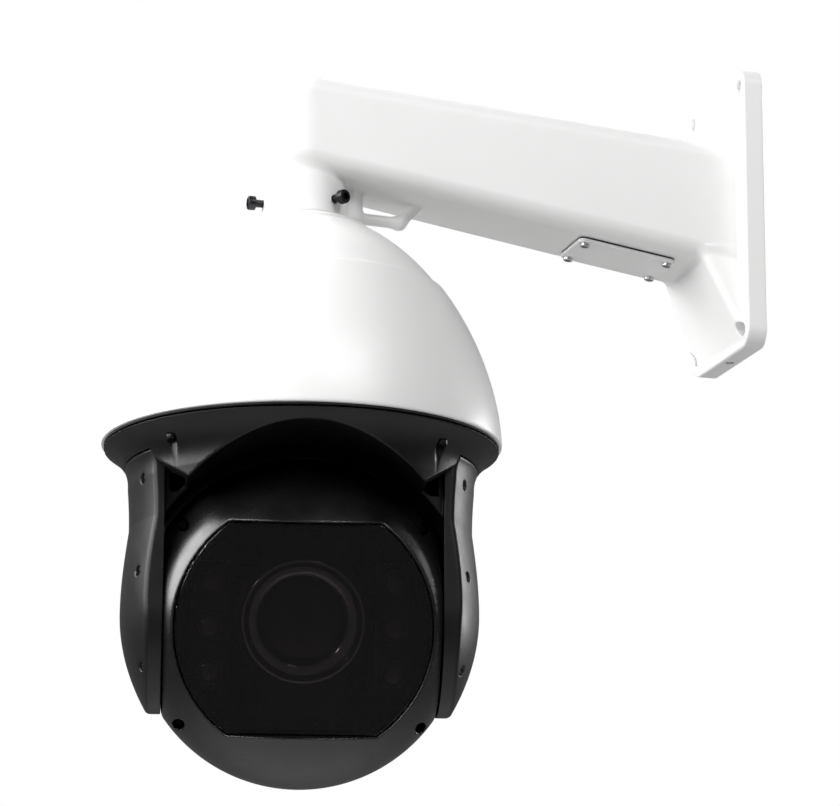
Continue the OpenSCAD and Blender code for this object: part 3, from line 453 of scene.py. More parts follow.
FINISH = {
    "white_paint": coated("white powder coat", (0.83, 0.83, 0.825), 0.42,
                          grain=1100, depth=0.00003, tone=0.015),
    "white_housing": coated("white housing paint", (0.84, 0.84, 0.835), 0.34,
                            grain=1300, depth=0.00002, tone=0.012),
    "black_housing": coated("black satin paint", (0.0045, 0.0045, 0.005), 0.36,
                            grain=1200, depth=0.00003, tone=0.2, Specular_IOR_Level=0.27),
    "black_cover": coated("black cover plastic", (0.0045, 0.0045, 0.005), 0.38,
                          grain=1200, depth=0.00003, tone=0.2, Specular_IOR_Level=0.32),
    "black_ball": coated("black gloss paint", (0.004, 0.004, 0.0045), 0.27,
                         grain=1400, depth=0.000015, tone=0.2, Specular_IOR_Level=0.5),
    "rubber": coated("black rubber", (0.016, 0.016, 0.016), 0.7, grain=700, depth=0.00006, tone=0.25),
    "screw_steel": machined("stainless screw", (0.62, 0.62, 0.63), 0.32),
    "dark_screw": machined("black oxide screw", (0.035, 0.035, 0.038), 0.38),
    "bearing_steel": machined("bearing steel", (0.66, 0.66, 0.67), 0.2),
    "alloy": machined("cast alloy", (0.62, 0.63, 0.65), 0.42),
    "board": circuit_board(),
    "motor": coated("motor housing", (0.05, 0.05, 0.055), 0.4, metallic=0.6, tone=0.2),
    "gear": machined("brass gear", (0.72, 0.53, 0.22), 0.3),
    "slip_ring": coated("slip ring plastic", (0.06, 0.065, 0.085), 0.35, tone=0.15),
    "window": smoked_window(),
    "camera_black": coated("camera block plastic", (0.006, 0.006, 0.0065), 0.6,
                           grain=900, depth=0.00005, tone=0.2, Specular_IOR_Level=0.2),
    "lens_metal": coated("anodised lens ring", (0.20, 0.21, 0.20), 0.15,
                         grain=1500, depth=0.000004, spread=0.03, metallic=1.0),
    "lens_glass": coated_lens(),
    "filter_glass": coated("filter glass", (0.10, 0.26, 0.30), 0.08, depth=0.000002, tone=0.1),
    "led": coated("lamp lens", (0.006, 0.005, 0.007), 0.3, depth=0.00001, tone=0.2, Coat_Weight=0.2),
}


def finish(piece, slot, body, *nodes):
    """Gives a piece its material and lets it ride and stand for its CAD nodes."""
    piece.data.materials.clear()
    piece.data.materials.append(FINISH[slot])
    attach(piece, body)
    if nodes:
        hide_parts(*nodes)
    return piece


# ---------- wall bracket ----------

PLATE_HALF, PLATE_T, PLATE_CORNER = (51, 96), 14, 12
CABLE_R, DRAIN_R, DRAIN_TOP = 22, 3, -84
BOLT_AT, BOLT_R = (42.5, 84), 4.5
KEYHOLE_Z, KEYHOLE_HALF, KEYHOLE_DEPTH = 72.5, (1.5, 10.5), 1.5
ARM_ROOT, ARM_CORNER, ARM_WALL = 12, 11, 5
ARM_WALL_END = (39, 44, -39)                       # half width, top and bottom where the arm leaves the plate
ARM_FAR_END = (33, 67, 10)
UNDER_SLOPE = math.atan2(ARM_FAR_END[2] - ARM_WALL_END[2], ARM_FAR_END[0] - PAN_Y - ARM_ROOT)
BOOT_TOP, BOOT_BOTTOM = -28, -91.5
BURIED = 4                                         # the arm and boot end inside the plate
BOOT_SIDE = (0.985, 0.171, 39, -36)                # direction a face looks in (out, up), and a point on it
BOOT_FRONT = (0.912, -0.410, 37.3, -38.3)
TUBE_R, TUBE_BOTTOM, TUBE_TOP = 28, -24, 22
SOCKET_R, SOCKET_TOP = 24.3, 17
RIB_R, RIB_Z = 9, (-22, 18)
LOOP, LOOP_R = ((0, -267, -18), (0, -237, -19), (0, -221, -2)), 3.8
LOCK_Z, LOCK_ANGLES, LOCK_HOLE_R, LOCK_OUT = -14, (0, 120, 240), 2.6, 5
HATCH_Y, HATCH_HALF, HATCH_T = (-120, -52), 22, 2.5
HATCH_MIDDLE, HATCH_LENGTH = sum(HATCH_Y) / 2, HATCH_Y[1] - HATCH_Y[0]
HATCH_SCREW = (HATCH_HALF - 5, HATCH_LENGTH / 2 - 5)
HATCH_GASKET = 1


def arm_form(x, y, z):
    """Tapered arm with a round far end over the tube."""
    t = np.clip((y - PAN_Y) / (-ARM_ROOT - PAN_Y), 0, 1)
    across = np.hypot(x, np.minimum(y - PAN_Y, 0))
    half, top = (f + (w - f) * t for f, w in zip(ARM_FAR_END[:2], ARM_WALL_END[:2]))
    bottom = ARM_WALL_END[2] + math.tan(UNDER_SLOPE) * (-ARM_ROOT - y)
    return rectangle(across, z - (top + bottom) / 2, half, (top - bottom) / 2, ARM_CORNER)


def under_arm(y, z):
    """Distances along the arm's underside and up from it."""
    s, c = math.sin(UNDER_SLOPE), math.cos(UNDER_SLOPE)
    y, z = y + ARM_ROOT, z - ARM_WALL_END[2]
    return y * c - z * s - ARM_ROOT, y * s + z * c


def leaning(out, z, face_out, face_up, at_out, at_z):
    """Half-space behind a leaning face through a point."""
    return face_out * (out - at_out) + face_up * (z - at_z)


def boot_form(x, y, z):
    """Wedge that carries the arm's underside down to the plate's lower end."""
    side = leaning(np.abs(x), z, *BOOT_SIDE)
    front = leaning(-y, z, *BOOT_FRONT)
    wedge = both(both(side, front, 6), BOOT_BOTTOM - z, 6)
    return both(both(wedge, z - BOOT_TOP), y + BURIED)


def lock_screw_hole(x, y, z, angle):
    s, c = math.sin(math.radians(angle)), -math.cos(math.radians(angle))
    along = x * s + (y - PAN_Y) * c
    off = np.hypot(x * c - (y - PAN_Y) * s, z - LOCK_Z)
    return both(off - LOCK_HOLE_R, -along)


def bracket_form(x, y, z):
    plate = both(rectangle(x, z, *PLATE_HALF, PLATE_CORNER), between(y, -PLATE_T, 0), 1.2)
    arm = arm_form(x, y, z)
    body = either(both(arm, y + BURIED), boot_form(x, y, z), 3)
    body = either(plate, body, 2.5)
    around = np.hypot(x, y - PAN_Y)
    body = either(body, both(around - TUBE_R, between(z, TUBE_BOTTOM, TUBE_TOP), 1.4), 3)
    rib = both(np.hypot(x, y - PAN_Y - TUBE_R - 2) - RIB_R, between(z, *RIB_Z), 2)
    body = either(body, rib, 2.5)
    loop = either(bar(x, y, z, LOOP[0], LOOP[1], LOOP_R), bar(x, y, z, LOOP[1], LOOP[2], LOOP_R), 4)
    body = either(body, loop, 2)
    duct = both(arm + ARM_WALL, y + PLATE_T - 4)
    body = without(body, duct, 0.6)
    body = without(body, both(np.hypot(x, z) - CABLE_R, between(y, -PLATE_T - 4, 1)), 1)
    body = without(body, both(around - SOCKET_R, between(z, TUBE_BOTTOM - 2, SOCKET_TOP)), 0.8)
    bolt = np.hypot(np.abs(x) - BOLT_AT[0], np.abs(z) - BOLT_AT[1]) + np.where(y > 1, y, 0) - BOLT_R
    body = without(body, bolt, 0.8)
    slot = rectangle(np.abs(x) - BOLT_AT[0], z - KEYHOLE_Z, *KEYHOLE_HALF, 1.4)
    slot = both(slot, -y - PLATE_T - 3)
    body = without(body, both(slot, y + PLATE_T - KEYHOLE_DEPTH), 0.3)
    body = without(body, both(np.hypot(x, y + PLATE_T / 2) - DRAIN_R, z - DRAIN_TOP), 0.4)
    for a in LOCK_ANGLES:
        body = without(body, lock_screw_hole(x, y, z, a), 0.4)
    u, w = under_arm(y, z)
    opening = rectangle(x, u - HATCH_MIDDLE, HATCH_HALF - 5, HATCH_LENGTH / 2 - 10, 3)
    return without(body, both(opening, between(w, -3, 8)), 0.4)


def hatch_form(x, u, w):
    """Cover plate under the arm, in the frame of the arm's underside."""
    plate = both(rectangle(x, u, HATCH_HALF, HATCH_LENGTH / 2, 5),
                 between(w, -HATCH_GASKET - HATCH_T, -HATCH_GASKET), 0.7)
    hole = np.hypot(np.abs(x) - HATCH_SCREW[0], np.abs(u) - HATCH_SCREW[1]) - 1.9
    return without(plate, hole, 0.3)


UNDER = (Matrix.Translation((0, -ARM_ROOT, ARM_WALL_END[2])) @ Matrix.Rotation(-UNDER_SLOPE, 4, "X")
         @ Matrix.Translation((0, ARM_ROOT, 0)))
HATCH = UNDER @ Matrix.Translation((0, HATCH_MIDDLE, 0))

finish(surface("cast_bracket", bracket_form, (-52, -335, -97), (52, 1, 97), 1.35),
       "white_paint", "bracket", "wall_plate", "bracket_arm", "bracket_tube", "safety_loop")
finish(surface("arm_hatch", hatch_form, (-23, -35, -4.5), (23, 35, 0), 0.8, HATCH),
       "white_paint", "bracket", "arm_cover")

small_head = turned_mesh("hatch screw", socket_screw(3.2, 2.2, 1.6, 7.5), 48)
hatch_places = [at(HATCH, x * HATCH_SCREW[0], y * HATCH_SCREW[1], -HATCH_GASKET - HATCH_T)
                for x in (-1, 1) for y in (-1, 1)]
finish(copies("hatch_screws", small_head, hatch_places), "screw_steel", "bracket", "arm_cover_screws")
lock_head = turned_mesh("locking screw", socket_screw(4.6, 5, 2.5, 9.4), 48)
lock_places = [at(DOME @ rot("Z", a), 0, -TUBE_R - LOCK_OUT, LOCK_Z, rot("X", -90)) for a in LOCK_ANGLES]
finish(copies("tube_lock_screws", lock_head, lock_places), "dark_screw", "bracket", "locking_screws")


# ---------- dome housing ----------

RIM_Z, SEAM_Z, DOME_R, DOME_H = -175, -73, 128, 155
CAP_STEP, SHELL_T = 2, 3
CAP_SEAT, FLANGE_R = -74.8, 76
SHELL_SEAT, FLANGE_T = CAP_SEAT - 0.8, 3.4
NECK_R, NECK_BOTTOM, COLLAR_R = 24.3, -56, 34
RIM_IN, LEDGE_R = 120.3, 106


def dome_at(z):
    return DOME_R * math.sqrt(max(0.0, 1 - max(0.0, (z - RIM_Z) / DOME_H) ** 1.7))


def dome_line(a, b, inset, n):
    return [(dome_at(a + (b - a) * i / n) - inset, a + (b - a) * i / n) for i in range(n + 1)]


seam_r = dome_at(SEAM_Z)
cap_rim = seam_r - CAP_STEP
crown = [(42.0, -29.6), (38.5, -28.2), (36.2, -26.9), (34.5, -26.1), (32.8, -25.6), (31, -25.5)]
cap_neck = [(NECK_R + 0.6, -25.5), (NECK_R, -26.1), (NECK_R, NECK_BOTTOM), (COLLAR_R, NECK_BOTTOM),
            (COLLAR_R, -38)]
cap_rings = [(FLANGE_R, CAP_SEAT), (cap_rim - 0.6, CAP_SEAT), (cap_rim, CAP_SEAT + 0.6)]
cap_rings += dome_line(SEAM_Z, -31, CAP_STEP, 40) + crown + cap_neck
cap_rings += dome_line(-40, -66, CAP_STEP + SHELL_T, 16) + [(FLANGE_R, -69.5)]
finish(turned("dome_cap", cap_rings, DOME, 288, True), "white_housing", "bracket", "top_cap")

lip = cap_rim + 0.3
under_flange = SHELL_SEAT - FLANGE_T
shell_rings = [(RIM_IN, RIM_Z + 0.3), (RIM_IN + 0.6, RIM_Z), (DOME_R - 1, RIM_Z), (DOME_R - 0.4, RIM_Z + 0.3),
               (DOME_R - 0.05, RIM_Z + 1)]
shell_rings += dome_line(RIM_Z + 2, SEAM_Z - 0.7, 0, 70)
shell_rings += [(seam_r - 0.25, SEAM_Z - 0.15), (seam_r - 0.9, SEAM_Z), (lip + 0.3, SEAM_Z),
                (lip, SEAM_Z - 0.3), (lip, SHELL_SEAT), (FLANGE_R, SHELL_SEAT), (FLANGE_R, under_flange)]
shell_rings += dome_line(under_flange, -159, SHELL_T, 50)
shell_rings += [(LEDGE_R, -164), (LEDGE_R, -167), (RIM_IN, -167)]
finish(turned("dome_housing", shell_rings, DOME, 288, True), "white_housing", "bracket", "dome_shell")
seal_rings = [(121.5, -175.1), (121.8, -176.2), (122.4, -176.4), (125.2, -176.4), (125.8, -176.2),
              (126.0, -175.7), (126.0, -175.1), (125.6, -175.0), (121.7, -175.0)]
finish(turned("rim_seal", seal_rings, DOME, 288, True), "rubber", "bracket", "rim_gasket")


# ---------- skirt, arms and arm covers ----------

HEAD_BALL_Z = HUB.z
SKIRT_TOP, ARM_SEAM = -177.5, -190
ARM_IN, ARM_HALF, ARCH_R = 86.5, 58, 104.6
ARM_BOLTS = ((44, -206.5), (46.5, -265.5), (37, -323))
BOLT_SINK, BOSS_R, TRAY_BOSS_X = 3.2, 4, ARM_IN + 5
SKIRT_SCREW_R, SKIRT_SCREW_AT = 114, (47, 133, 227, 313)
SKIN, GAP = 3, 0.3
TRAY_TOP, TURNTABLE_Z, WEB_BOTTOM = -182, -180, -185
SHOULDER_Y, SHOULDER_Z = 50, -232
POCKET_R, POCKET_Z = 101, (-215, -179)
FLARE_Z, WAIST_Z, BARREL_Z = -205, -232, -284      # heights where the profile of the skirt and covers changes


def head_at(z):
    """Radius of the skirt and covers: a flare at the top that blends into a barrel."""
    flare = 110 + 17 * (np.clip(z - FLARE_Z, 0, None) / 27.5) ** 2.7
    waist = 108.8 + 1.2 * (np.clip(z - WAIST_Z, 0, 27) / 27) ** 2
    barrel = (108.8 + 4.5 * np.sin(np.pi / 2 * np.clip((WAIST_Z - z) / 52, 0, 1))
              - 19 * (np.clip(BARREL_Z - z, 0, None) / 64) ** 2)
    return np.where(z > FLARE_Z, flare, np.where(z > WAIST_Z, waist, barrel))


def head_form(x, y, z):
    slope = head_at(z + 0.5) - head_at(z - 0.5)
    return (np.hypot(x, y) - head_at(z)) / np.sqrt(1 + slope * slope)


def arm_side(y, z, half):
    """Side outline of an arm: straight above, round about the tilt axis below."""
    below = np.hypot(y, z - HEAD_BALL_Z) - half
    return np.where(z > HEAD_BALL_Z, np.abs(y) - half, below)


def skirt_zone(x, z):
    """Front outline of the skirt: full above, with a tab down each side of the arch."""
    ax = np.abs(x)
    tab = both(line(ax, z, (80, -219), (95, -196)), line(ax, z, (95, -196), (103, -190)))
    tab = both(tab, -z - 219.0, 0.6)
    return either(-(z - ARM_SEAM), tab, 1.5)


def arm_bolt_seat(p):
    return math.sqrt(float(head_at(np.array(p[1]))) ** 2 - p[0] ** 2) - BOLT_SINK


def skirt_screw_spots():
    for a in SKIRT_SCREW_AT:
        t = math.radians(a - 90)
        yield SKIRT_SCREW_R * math.cos(t), SKIRT_SCREW_R * math.sin(t)


def bolt_distance(p, y, z):
    return np.hypot(np.abs(y) - p[0], z - p[1])


def tray_form(ax, y, z, outer):
    """Plate, rim and bosses that stand inside an arm's cover."""
    plate = between(ax, ARM_IN, ARM_IN + 4)
    rim = both(between(ax, ARM_IN, ARM_IN + 8), z - ARM_SEAM + 4.2)
    body = either(plate, both(rim, -arm_side(y, z, ARM_HALF - SKIN - 3)))
    for p in ARM_BOLTS:
        body = either(body, both(bolt_distance(p, y, z) - BOSS_R, between(ax, ARM_IN, TRAY_BOSS_X)))
    stay = both(np.hypot(np.abs(y) - 20, z + 238) - 4, between(ax, ARM_IN, ARM_IN + 11.7))
    outline = both(arm_side(y, z, ARM_HALF - SKIN - 0.4), outer + SKIN + 0.6)
    body = both(either(body, stay), both(outline, z - TRAY_TOP))
    for p in ARM_BOLTS:
        body = without(body, both(bolt_distance(p, y, z) - BOSS_R - GAP, TRAY_BOSS_X - ax))
    return body


def yoke_form(x, y, z):
    outer = head_form(x, y, z)
    ax = np.abs(x)
    skirt = both(both(outer, z - SKIRT_TOP, 1.0), skirt_zone(x, z), 0.8)
    seat = both(both(ARM_IN - ax, np.abs(y) - ARM_HALF - GAP), z - ARM_SEAM)
    skirt = without(skirt, seat)
    tray = tray_form(ax, y, z, outer)
    axle = np.hypot(y, z - HEAD_BALL_Z)
    boss = both(axle - 23, between(ax, ARM_IN, ARM_IN + 6), 0.5)
    shoulder = both(both(ax - ARM_IN - 2, np.abs(y) - SHOULDER_Y), between(z, SHOULDER_Z, TRAY_TOP))
    body = either(either(skirt, shoulder), either(tray, boss))
    around = np.hypot(x, y)
    body = without(body, both(around - 119.8, TURNTABLE_Z - z), 0.4)
    body = without(body, both(around - 15, WEB_BOTTOM - z))
    pocket = both(both(outer + SKIN, around - POCKET_R), between(z, *POCKET_Z))
    pocket = without(pocket, np.hypot(x, z - HEAD_BALL_Z) - ARCH_R - SKIN)
    pocket = without(pocket, between(ax, ARM_IN - 3, ARM_IN + 21))
    body = without(body, pocket)
    for px, py in skirt_screw_spots():
        hole = np.hypot(x - px, y - py)
        body = without(body, both(hole - 4, z - WEB_BOTTOM + 1), 0.4)
        body = without(body, hole - 1.8)
    arch = both(np.hypot(x, z - HEAD_BALL_Z) - ARCH_R, ax - ARM_IN)
    body = without(body, arch, 1.0)
    body = without(body, axle - 17)
    return without(body, both(axle - 19.05, ARM_IN + 0.5 - ax))


def cover_form(x, y, z):
    """Right arm cover; the left one is its mirror image."""
    outer = head_form(x, y, z)
    side = both(arm_side(y, z, ARM_HALF), z - ARM_SEAM + 0.5, 1.2)
    body = both(both(outer, side, 1.8), ARM_IN - x, 0.5)
    hollow = both(both(outer + SKIN, arm_side(y, z, ARM_HALF - SKIN)), z - ARM_SEAM + 3.5)
    shell = without(body, hollow)
    inner_edge = both(x - ARM_IN - 4.3, np.abs(y) - ARM_HALF + SKIN + 0.2)
    shell = without(shell, both(inner_edge, ARM_SEAM - 4.5 - z))
    for p in ARM_BOLTS:
        off = bolt_distance(p, y, z)
        post = both(both(off - BOSS_R, TRAY_BOSS_X + GAP - x), outer + 1)
        shell = either(shell, post)
        shell = without(shell, off - 1.8)
        shell = without(shell, both(off - 3.3, arm_bolt_seat(p) - x), 0.4)
    return shell


def mirrored(form):
    return lambda x, y, z: form(-x, y, z)


finish(surface("skirt_and_arms", yoke_form, (-128, -128, -350), (128, 128, -177), 1.25, HEAD),
       "black_housing", "yoke", "yoke")
finish(surface("arm_shell_right", cover_form, (86, -59, -348), (117, 59, -190), 1.0, HEAD),
       "black_cover", "yoke", "right_arm_cover")
finish(surface("arm_shell_left", mirrored(cover_form), (-117, -59, -348), (-86, 59, -190), 1.0, HEAD),
       "black_cover", "yoke", "left_arm_cover")

bolt_places = []
for p in ARM_BOLTS:
    for sy in (-1, 1):
        bolt_places.append(at(HEAD, arm_bolt_seat(p), sy * p[0], p[1], rot("Y", -90)))
        bolt_places.append(at(HEAD, -arm_bolt_seat(p), sy * p[0], p[1], rot("Y", 90)))
cover_bolt = turned_mesh("cover bolt", socket_screw(2.9, 2, 1.4, 9), 48)
finish(copies("arm_shell_bolts", cover_bolt, bolt_places), "dark_screw", "yoke", "arm_cover_bolts")
skirt_screw = turned_mesh("skirt screw", socket_screw(3.4, 3, 1.7, 6), 48)
skirt_places = [at(HEAD, x, y, WEB_BOTTOM - 1) for x, y in skirt_screw_spots()]
finish(copies("skirt_bolts", skirt_screw, skirt_places), "dark_screw", "yoke", "yoke_screws")


# ---------- ball ----------

BALL_R, BALL_HALF, BALL_T = 104, 86.4, 3
WINDOW_Y, WINDOW_HALF, GLASS_R = 65, 65.5, 79.5
LIP_R, LIP_Y, LIP_STEP, GLASS_T = 75.5, (61, 58), 4, 3
SPLIT_Y, SEAL_T = 24, 0.8
BACK_SPLIT = SPLIT_Y + SEAL_T
BALL_SCREW, POST_R, POST_DEPTH = (75, 61.5), 5.5, 14
SCREW_HEAD_R, SCREW_HEAD_Y = 3.7, 8
AXLE_HOLE_R = 12.1


def ball_outline(x, y, z, inset=0.0, r=0.0):
    return both(np.sqrt(x * x + y * y + z * z) - BALL_R + inset, np.abs(x) - BALL_HALF + inset, r)


def window_disc(x, z, r, half):
    return both(np.hypot(x, z) - r, np.abs(z) - half)


def ball_screw_distance(x, z):
    return np.hypot(np.abs(x) - BALL_SCREW[0], np.abs(z) - BALL_SCREW[1])


def ball_front_form(x, y, z):
    front = -y
    body = both(ball_outline(x, y, z, 0, 2.0), -front - SPLIT_Y, 0.3)
    channel = both(np.abs(z) - WINDOW_HALF, WINDOW_Y - front)
    body = without(body, channel, 1.1)
    inner = ball_outline(x, y, z, BALL_T)
    hollow = either(front - LIP_Y[1], WINDOW_HALF + BALL_T - np.abs(z))
    body = without(body, both(inner, hollow))
    off = ball_screw_distance(x, z)
    post = both(both(off - POST_R, between(front, -SPLIT_Y, 12)), ball_outline(x, y, z, 0.5))
    body = either(body, post, 0.8)
    opening = window_disc(x, z, LIP_R, WINDOW_HALF - LIP_STEP)
    body = without(body, both(opening, LIP_Y[1] - 2 - front), 0.3)
    seat = window_disc(x, z, GLASS_R + 0.3, WINDOW_HALF - 0.2)
    body = without(body, both(seat, LIP_Y[0] - front), 0.25)
    body = without(body, both(off - SCREW_HEAD_R, SCREW_HEAD_Y - front), 0.6)
    body = without(body, off - 1.6)
    return without(body, both(np.hypot(front, z) - AXLE_HOLE_R, 60 - np.abs(x)), 0.2)


def ball_rear_form(x, y, z):
    body = both(ball_outline(x, y, z, 0, 2.0), BACK_SPLIT - y, 0.3)
    body = without(body, ball_outline(x, y, z, BALL_T))
    off = ball_screw_distance(x, z)
    inside = both(ball_outline(x, y, z, 0.5), BACK_SPLIT - y)
    post = both(both(off - POST_R, y - BACK_SPLIT - POST_DEPTH), inside)
    body = either(body, post, 0.8)
    return without(body, both(off - 1.5, y - BACK_SPLIT - POST_DEPTH / 2))


def glass_form(x, y, z):
    outline = both(np.hypot(x, z) - GLASS_R, np.abs(z) - WINDOW_HALF + 0.5, 0.6)
    back = LIP_Y[0] + SEAL_T
    return both(outline, between(-y, back, back + GLASS_T), 0.35)


finish(surface("ball_face", ball_front_form, (-87.4, -105, -105), (87.4, 25, 105), 1.3, BALL),
       "black_ball", "ball", "ball_front")
finish(surface("ball_back", ball_rear_form, (-87.4, 24, -105), (87.4, 105, 105), 1.5, BALL),
       "black_ball", "ball", "ball_rear")
finish(surface("window_pane", glass_form, (-80, -65.5, -66), (80, -61, 66), 0.9, BALL),
       "window", "ball", "window_glass")
ball_screw = turned_mesh("ball screw", socket_screw(3.2, 3, 1.4, 38), 48)
ball_screw_places = [at(BALL, x * BALL_SCREW[0], -SCREW_HEAD_Y, z * BALL_SCREW[1], rot("X", -90))
                     for x in (-1, 1) for z in (-1, 1)]
finish(copies("ball_bolts", ball_screw, ball_screw_places), "dark_screw", "ball", "ball_screws")


# ---------- lens and lamps behind the window ----------

LENS_Z, LENS_OUT, LENS_R = 4, 5, 30.5
LENS_RIM_Z, LENS_BACK_Z, LENS_BULGE = 41.5, 36.5, 3
FORWARD = at(BALL, 0, 0, LENS_Z, rot("X", 90))      # local +z looks out of the window

ring_rings = [(24, 38), (24, 40), (26, 41.4), (28.6, 42.4), (31, 43.3), (33.2, 43.6), (33.6, 45.0),
              (34.4, 45.4), (34.8, 47.2), (35.6, 47.6), (36.0, 49.2), (36.6, 49.9), (37.4, 50),
              (38.1, 49.7), (38.5, 49.0), (38.5, 43.7), (30.8, 43.7), (30.8, 38)]
finish(turned("lens_bezel_ring", ring_rings, at(FORWARD, 0, 0, LENS_OUT), 192, True),
       "lens_metal", "ball", "lens_ring")
steps = [i / 24 for i in range(25)]
glass_rings = [(LENS_R * t, LENS_RIM_Z + LENS_BULGE * (1 - t * t)) for t in steps]
glass_rings += [(LENS_R * t, LENS_BACK_Z - (1 - t * t)) for t in reversed(steps)]
finish(turned("lens_front_glass", glass_rings, FORWARD, 128), "lens_glass", "ball", "front_lens")

PLATE_OUT, PLATE_BAND = (49, 51), (27, 58)
LENS_COLLAR_R, LENS_HOLE_R = 42.5, 38.8


def bezel_form(x, y, z):
    disc = np.hypot(x, z - LENS_Z)
    outline = either(rectangle(x, z, *PLATE_BAND, 4), disc - LENS_COLLAR_R, 5)
    plate = both(outline, between(-y, *PLATE_OUT), 0.5)
    return without(plate, disc - LENS_HOLE_R, 0.3)


finish(surface("camera_front_plate", bezel_form, (-43, -52, -59), (43, -48, 59), 0.8, BALL),
       "camera_black", "ball", "camera_bezel")
lamp_rings = [(0, -1.0), (5.0, -1.0), (9.0, -1.0), (9.0, 2.6), (8.6, 3.4), (8.0, 3.8)]
lamp_rings += [(7.4 * math.cos(math.radians(a)), 3.8 + 2.4 * math.sin(math.radians(a)))
               for a in range(0, 90, 10)]
lamp_rings += [(0, 6.2)]
LAMP_X, LAMP_Y, LAMP_Z = 57, 43, (-28, 0, 28)
lamp = turned_mesh("lamp lens", lamp_rings, 64)
lamp_places = [at(BALL, s * LAMP_X, -LAMP_Y, z, rot("X", 90)) for s in (-1, 1) for z in LAMP_Z]
finish(copies("infrared_lamps", lamp, lamp_places), "led", "ball", "led_lenses")


# ---------- CAD pieces that stay as they are ----------

SLOTS = {
    "rubber": ("arm_cover_gasket", "neck_o_ring", "top_cap_seal", "ball_seal", "window_gasket"),
    "alloy": ("neck_pipe", "chassis_plate", "slip_ring_bridge", "turntable", "tilt_hubs",
              "led_heat_sinks", "tilt_motor_bracket"),
    "screw_steel": ("top_cap_screws", "chassis_screws"),
    "bearing_steel": ("pan_bearing_outer", "pan_bearing_inner", "pan_bearing_balls", "pan_circlip",
                      "tilt_bearings"),
    "board": ("main_board", "power_board", "sensor_board"),
    "gear": ("board_standoffs", "pan_pinion", "pan_gear", "tilt_pinion", "tilt_gear"),
    "motor": ("pan_motor", "tilt_motor"),
    "slip_ring": ("slip_ring_stator", "slip_ring_rotor"),
    "camera_black": ("camera_chassis", "lens_barrel", "zoom_group", "focus_group", "led_boards"),
    "filter_glass": ("ir_cut_filter",),
}
for slot, names in SLOTS.items():
    for name in names:
        o = frame["nodes"][name]
        o.data.materials.clear()
        o.data.materials.append(FINISH[slot])
        o.data.polygons.foreach_set("use_smooth", np.ones(len(o.data.polygons), bool))
        o.data.set_sharp_from_angle(angle=SHARP)


# ---------- floor, light and camera ----------

FLOOR_HALF, FLOOR_Z, FLOOR_GLOW = 9.0, -2.5, 0.6


def floor():
    """Pale floor well below the camera. It glows a little, to be seen pale and light nothing."""
    mesh = bpy.data.meshes.new("floor")
    corners = [(x * FLOOR_HALF, y * FLOOR_HALF, FLOOR_Z) for x, y in ((-1, -1), (1, -1), (1, 1), (-1, 1))]
    mesh.from_pydata(corners, [], [(0, 1, 2, 3)])
    o = new_object("floor", mesh)
    m = coated("pale floor", (0.86, 0.86, 0.86), 0.7, grain=40, depth=0.0002, tone=0.02, wave=3)
    m.node_tree.nodes["Principled BSDF"].inputs["Emission Color"].default_value = (1, 1, 1, 1)
    seen = node(m, "ShaderNodeLightPath").outputs["Is Camera Ray"]
    give(m, "Emission Strength", ramp(m, seen, 0, 1, 0, FLOOR_GLOW))
    mesh.materials.append(m)


VIEW_FROM = Vector((2.109, -0.8438, -0.6866))
VIEW_ALONG = Vector((-0.9308, 0.2743, 0.2417)).normalized()
VIEW_UP = Vector((0.2309, -0.0714, 0.9703))
VIEW_LENS, VIEW_SENSOR = 150, 36


def camera():
    """Places the view, and returns its right and up directions."""
    data = bpy.data.cameras.new("camera")
    data.sensor_width = VIEW_SENSOR
    data.lens = VIEW_LENS
    data.clip_start, data.clip_end = 0.05, 60
    o = bpy.data.objects.new("camera", data)
    bpy.context.scene.collection.objects.link(o)
    right = VIEW_ALONG.cross(VIEW_UP).normalized()
    up = right.cross(VIEW_ALONG)
    m = Matrix((right, up, -VIEW_ALONG)).transposed().to_4x4()
    m.translation = VIEW_FROM
    o.matrix_world = m
    bpy.context.scene.camera = o
    return right, up


LIT_PLACE = Vector((0, -0.22, -0.18))


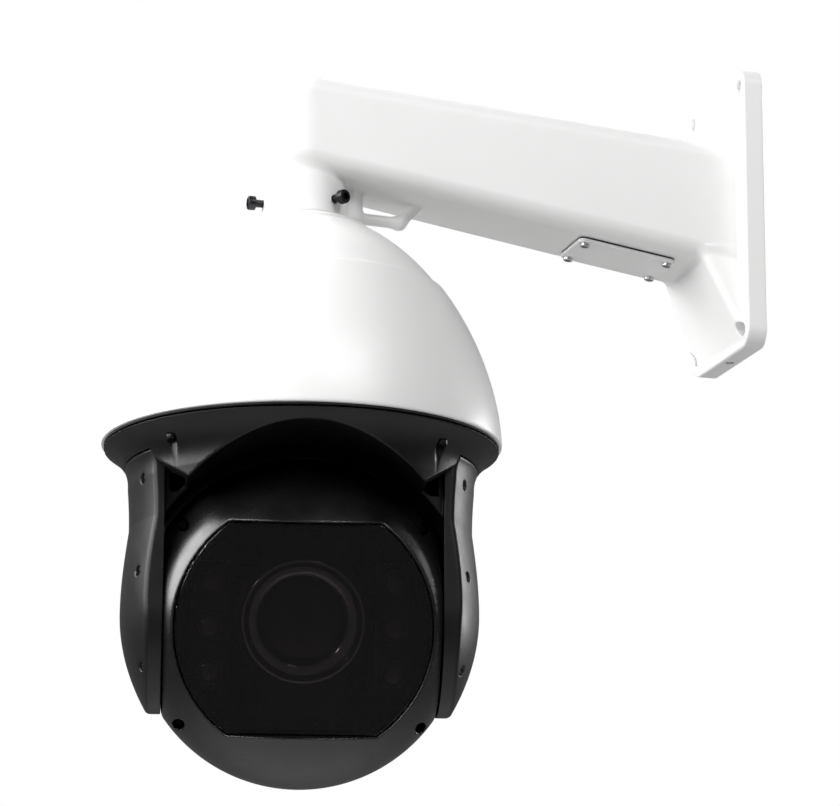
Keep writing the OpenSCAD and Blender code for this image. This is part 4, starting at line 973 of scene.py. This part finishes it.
def soft_light(name, direction, distance, size, power):
    """A rectangular soft light that faces the object from a direction."""
    data = bpy.data.lights.new(name, "AREA")
    data.shape = "RECTANGLE"
    data.size, data.size_y = size
    data.energy = power
    o = bpy.data.objects.new(name, data)
    bpy.context.scene.collection.objects.link(o)
    direction = direction.normalized()
    o.location = LIT_PLACE + direction * distance
    o.rotation_euler = (-direction).to_track_quat("-Z", "Y").to_euler()


def room(walls, glow):
    """Room whose walls are seen in one brightness and light the object with another."""
    world = bpy.data.worlds.new("room")
    bpy.context.scene.world = world
    world.use_nodes = True
    tree = world.node_tree
    tree.nodes.clear()
    out = tree.nodes.new("ShaderNodeOutputWorld")
    mix = tree.nodes.new("ShaderNodeMixShader")
    path = tree.nodes.new("ShaderNodeLightPath")
    soft, seen = tree.nodes.new("ShaderNodeBackground"), tree.nodes.new("ShaderNodeBackground")
    soft.inputs["Color"].default_value = (glow, glow, glow, 1)
    seen.inputs["Color"].default_value = (walls, walls, walls, 1)
    tree.links.new(path.outputs["Is Camera Ray"], mix.inputs["Fac"])
    tree.links.new(soft.outputs["Background"], mix.inputs[1])
    tree.links.new(seen.outputs["Background"], mix.inputs[2])
    tree.links.new(mix.outputs["Shader"], out.inputs["Surface"])


floor()
right, up = camera()
near = -VIEW_ALONG
soft_light("key from the left", -right * 0.80 + near * 0.42 + up * 0.55, 2.2, (1.3, 1.3), 44)
soft_light("light behind on the left", -right * 0.50 + up * 0.60 - near * 0.60, 2.2, (1.3, 1.0), 30)
soft_light("front fill", near * 0.62 + right * 0.45 + up * 0.8, 3.0, (1.6, 1.2), 39)
soft_light("side light on the left", -right * 0.87 + up * 0.42 - near * 0.14, 2.2, (1.1, 1.6), 52)
soft_light("small front light", near * 0.77 - right * 0.50 + up * 0.42, 2.4, (0.35, 0.35), 9)
soft_light("edge light on the right", right * 0.78 - near * 0.60 + up * 0.15, 2.2, (0.7, 1.6), 28)
soft_light("light from below", near * 0.45 + right * 0.2 - up * 0.9, 2.6, (1.4, 1.0), 22)
room(1.0, 0.155)
bpy.context.scene.view_settings.view_transform = "Standard"
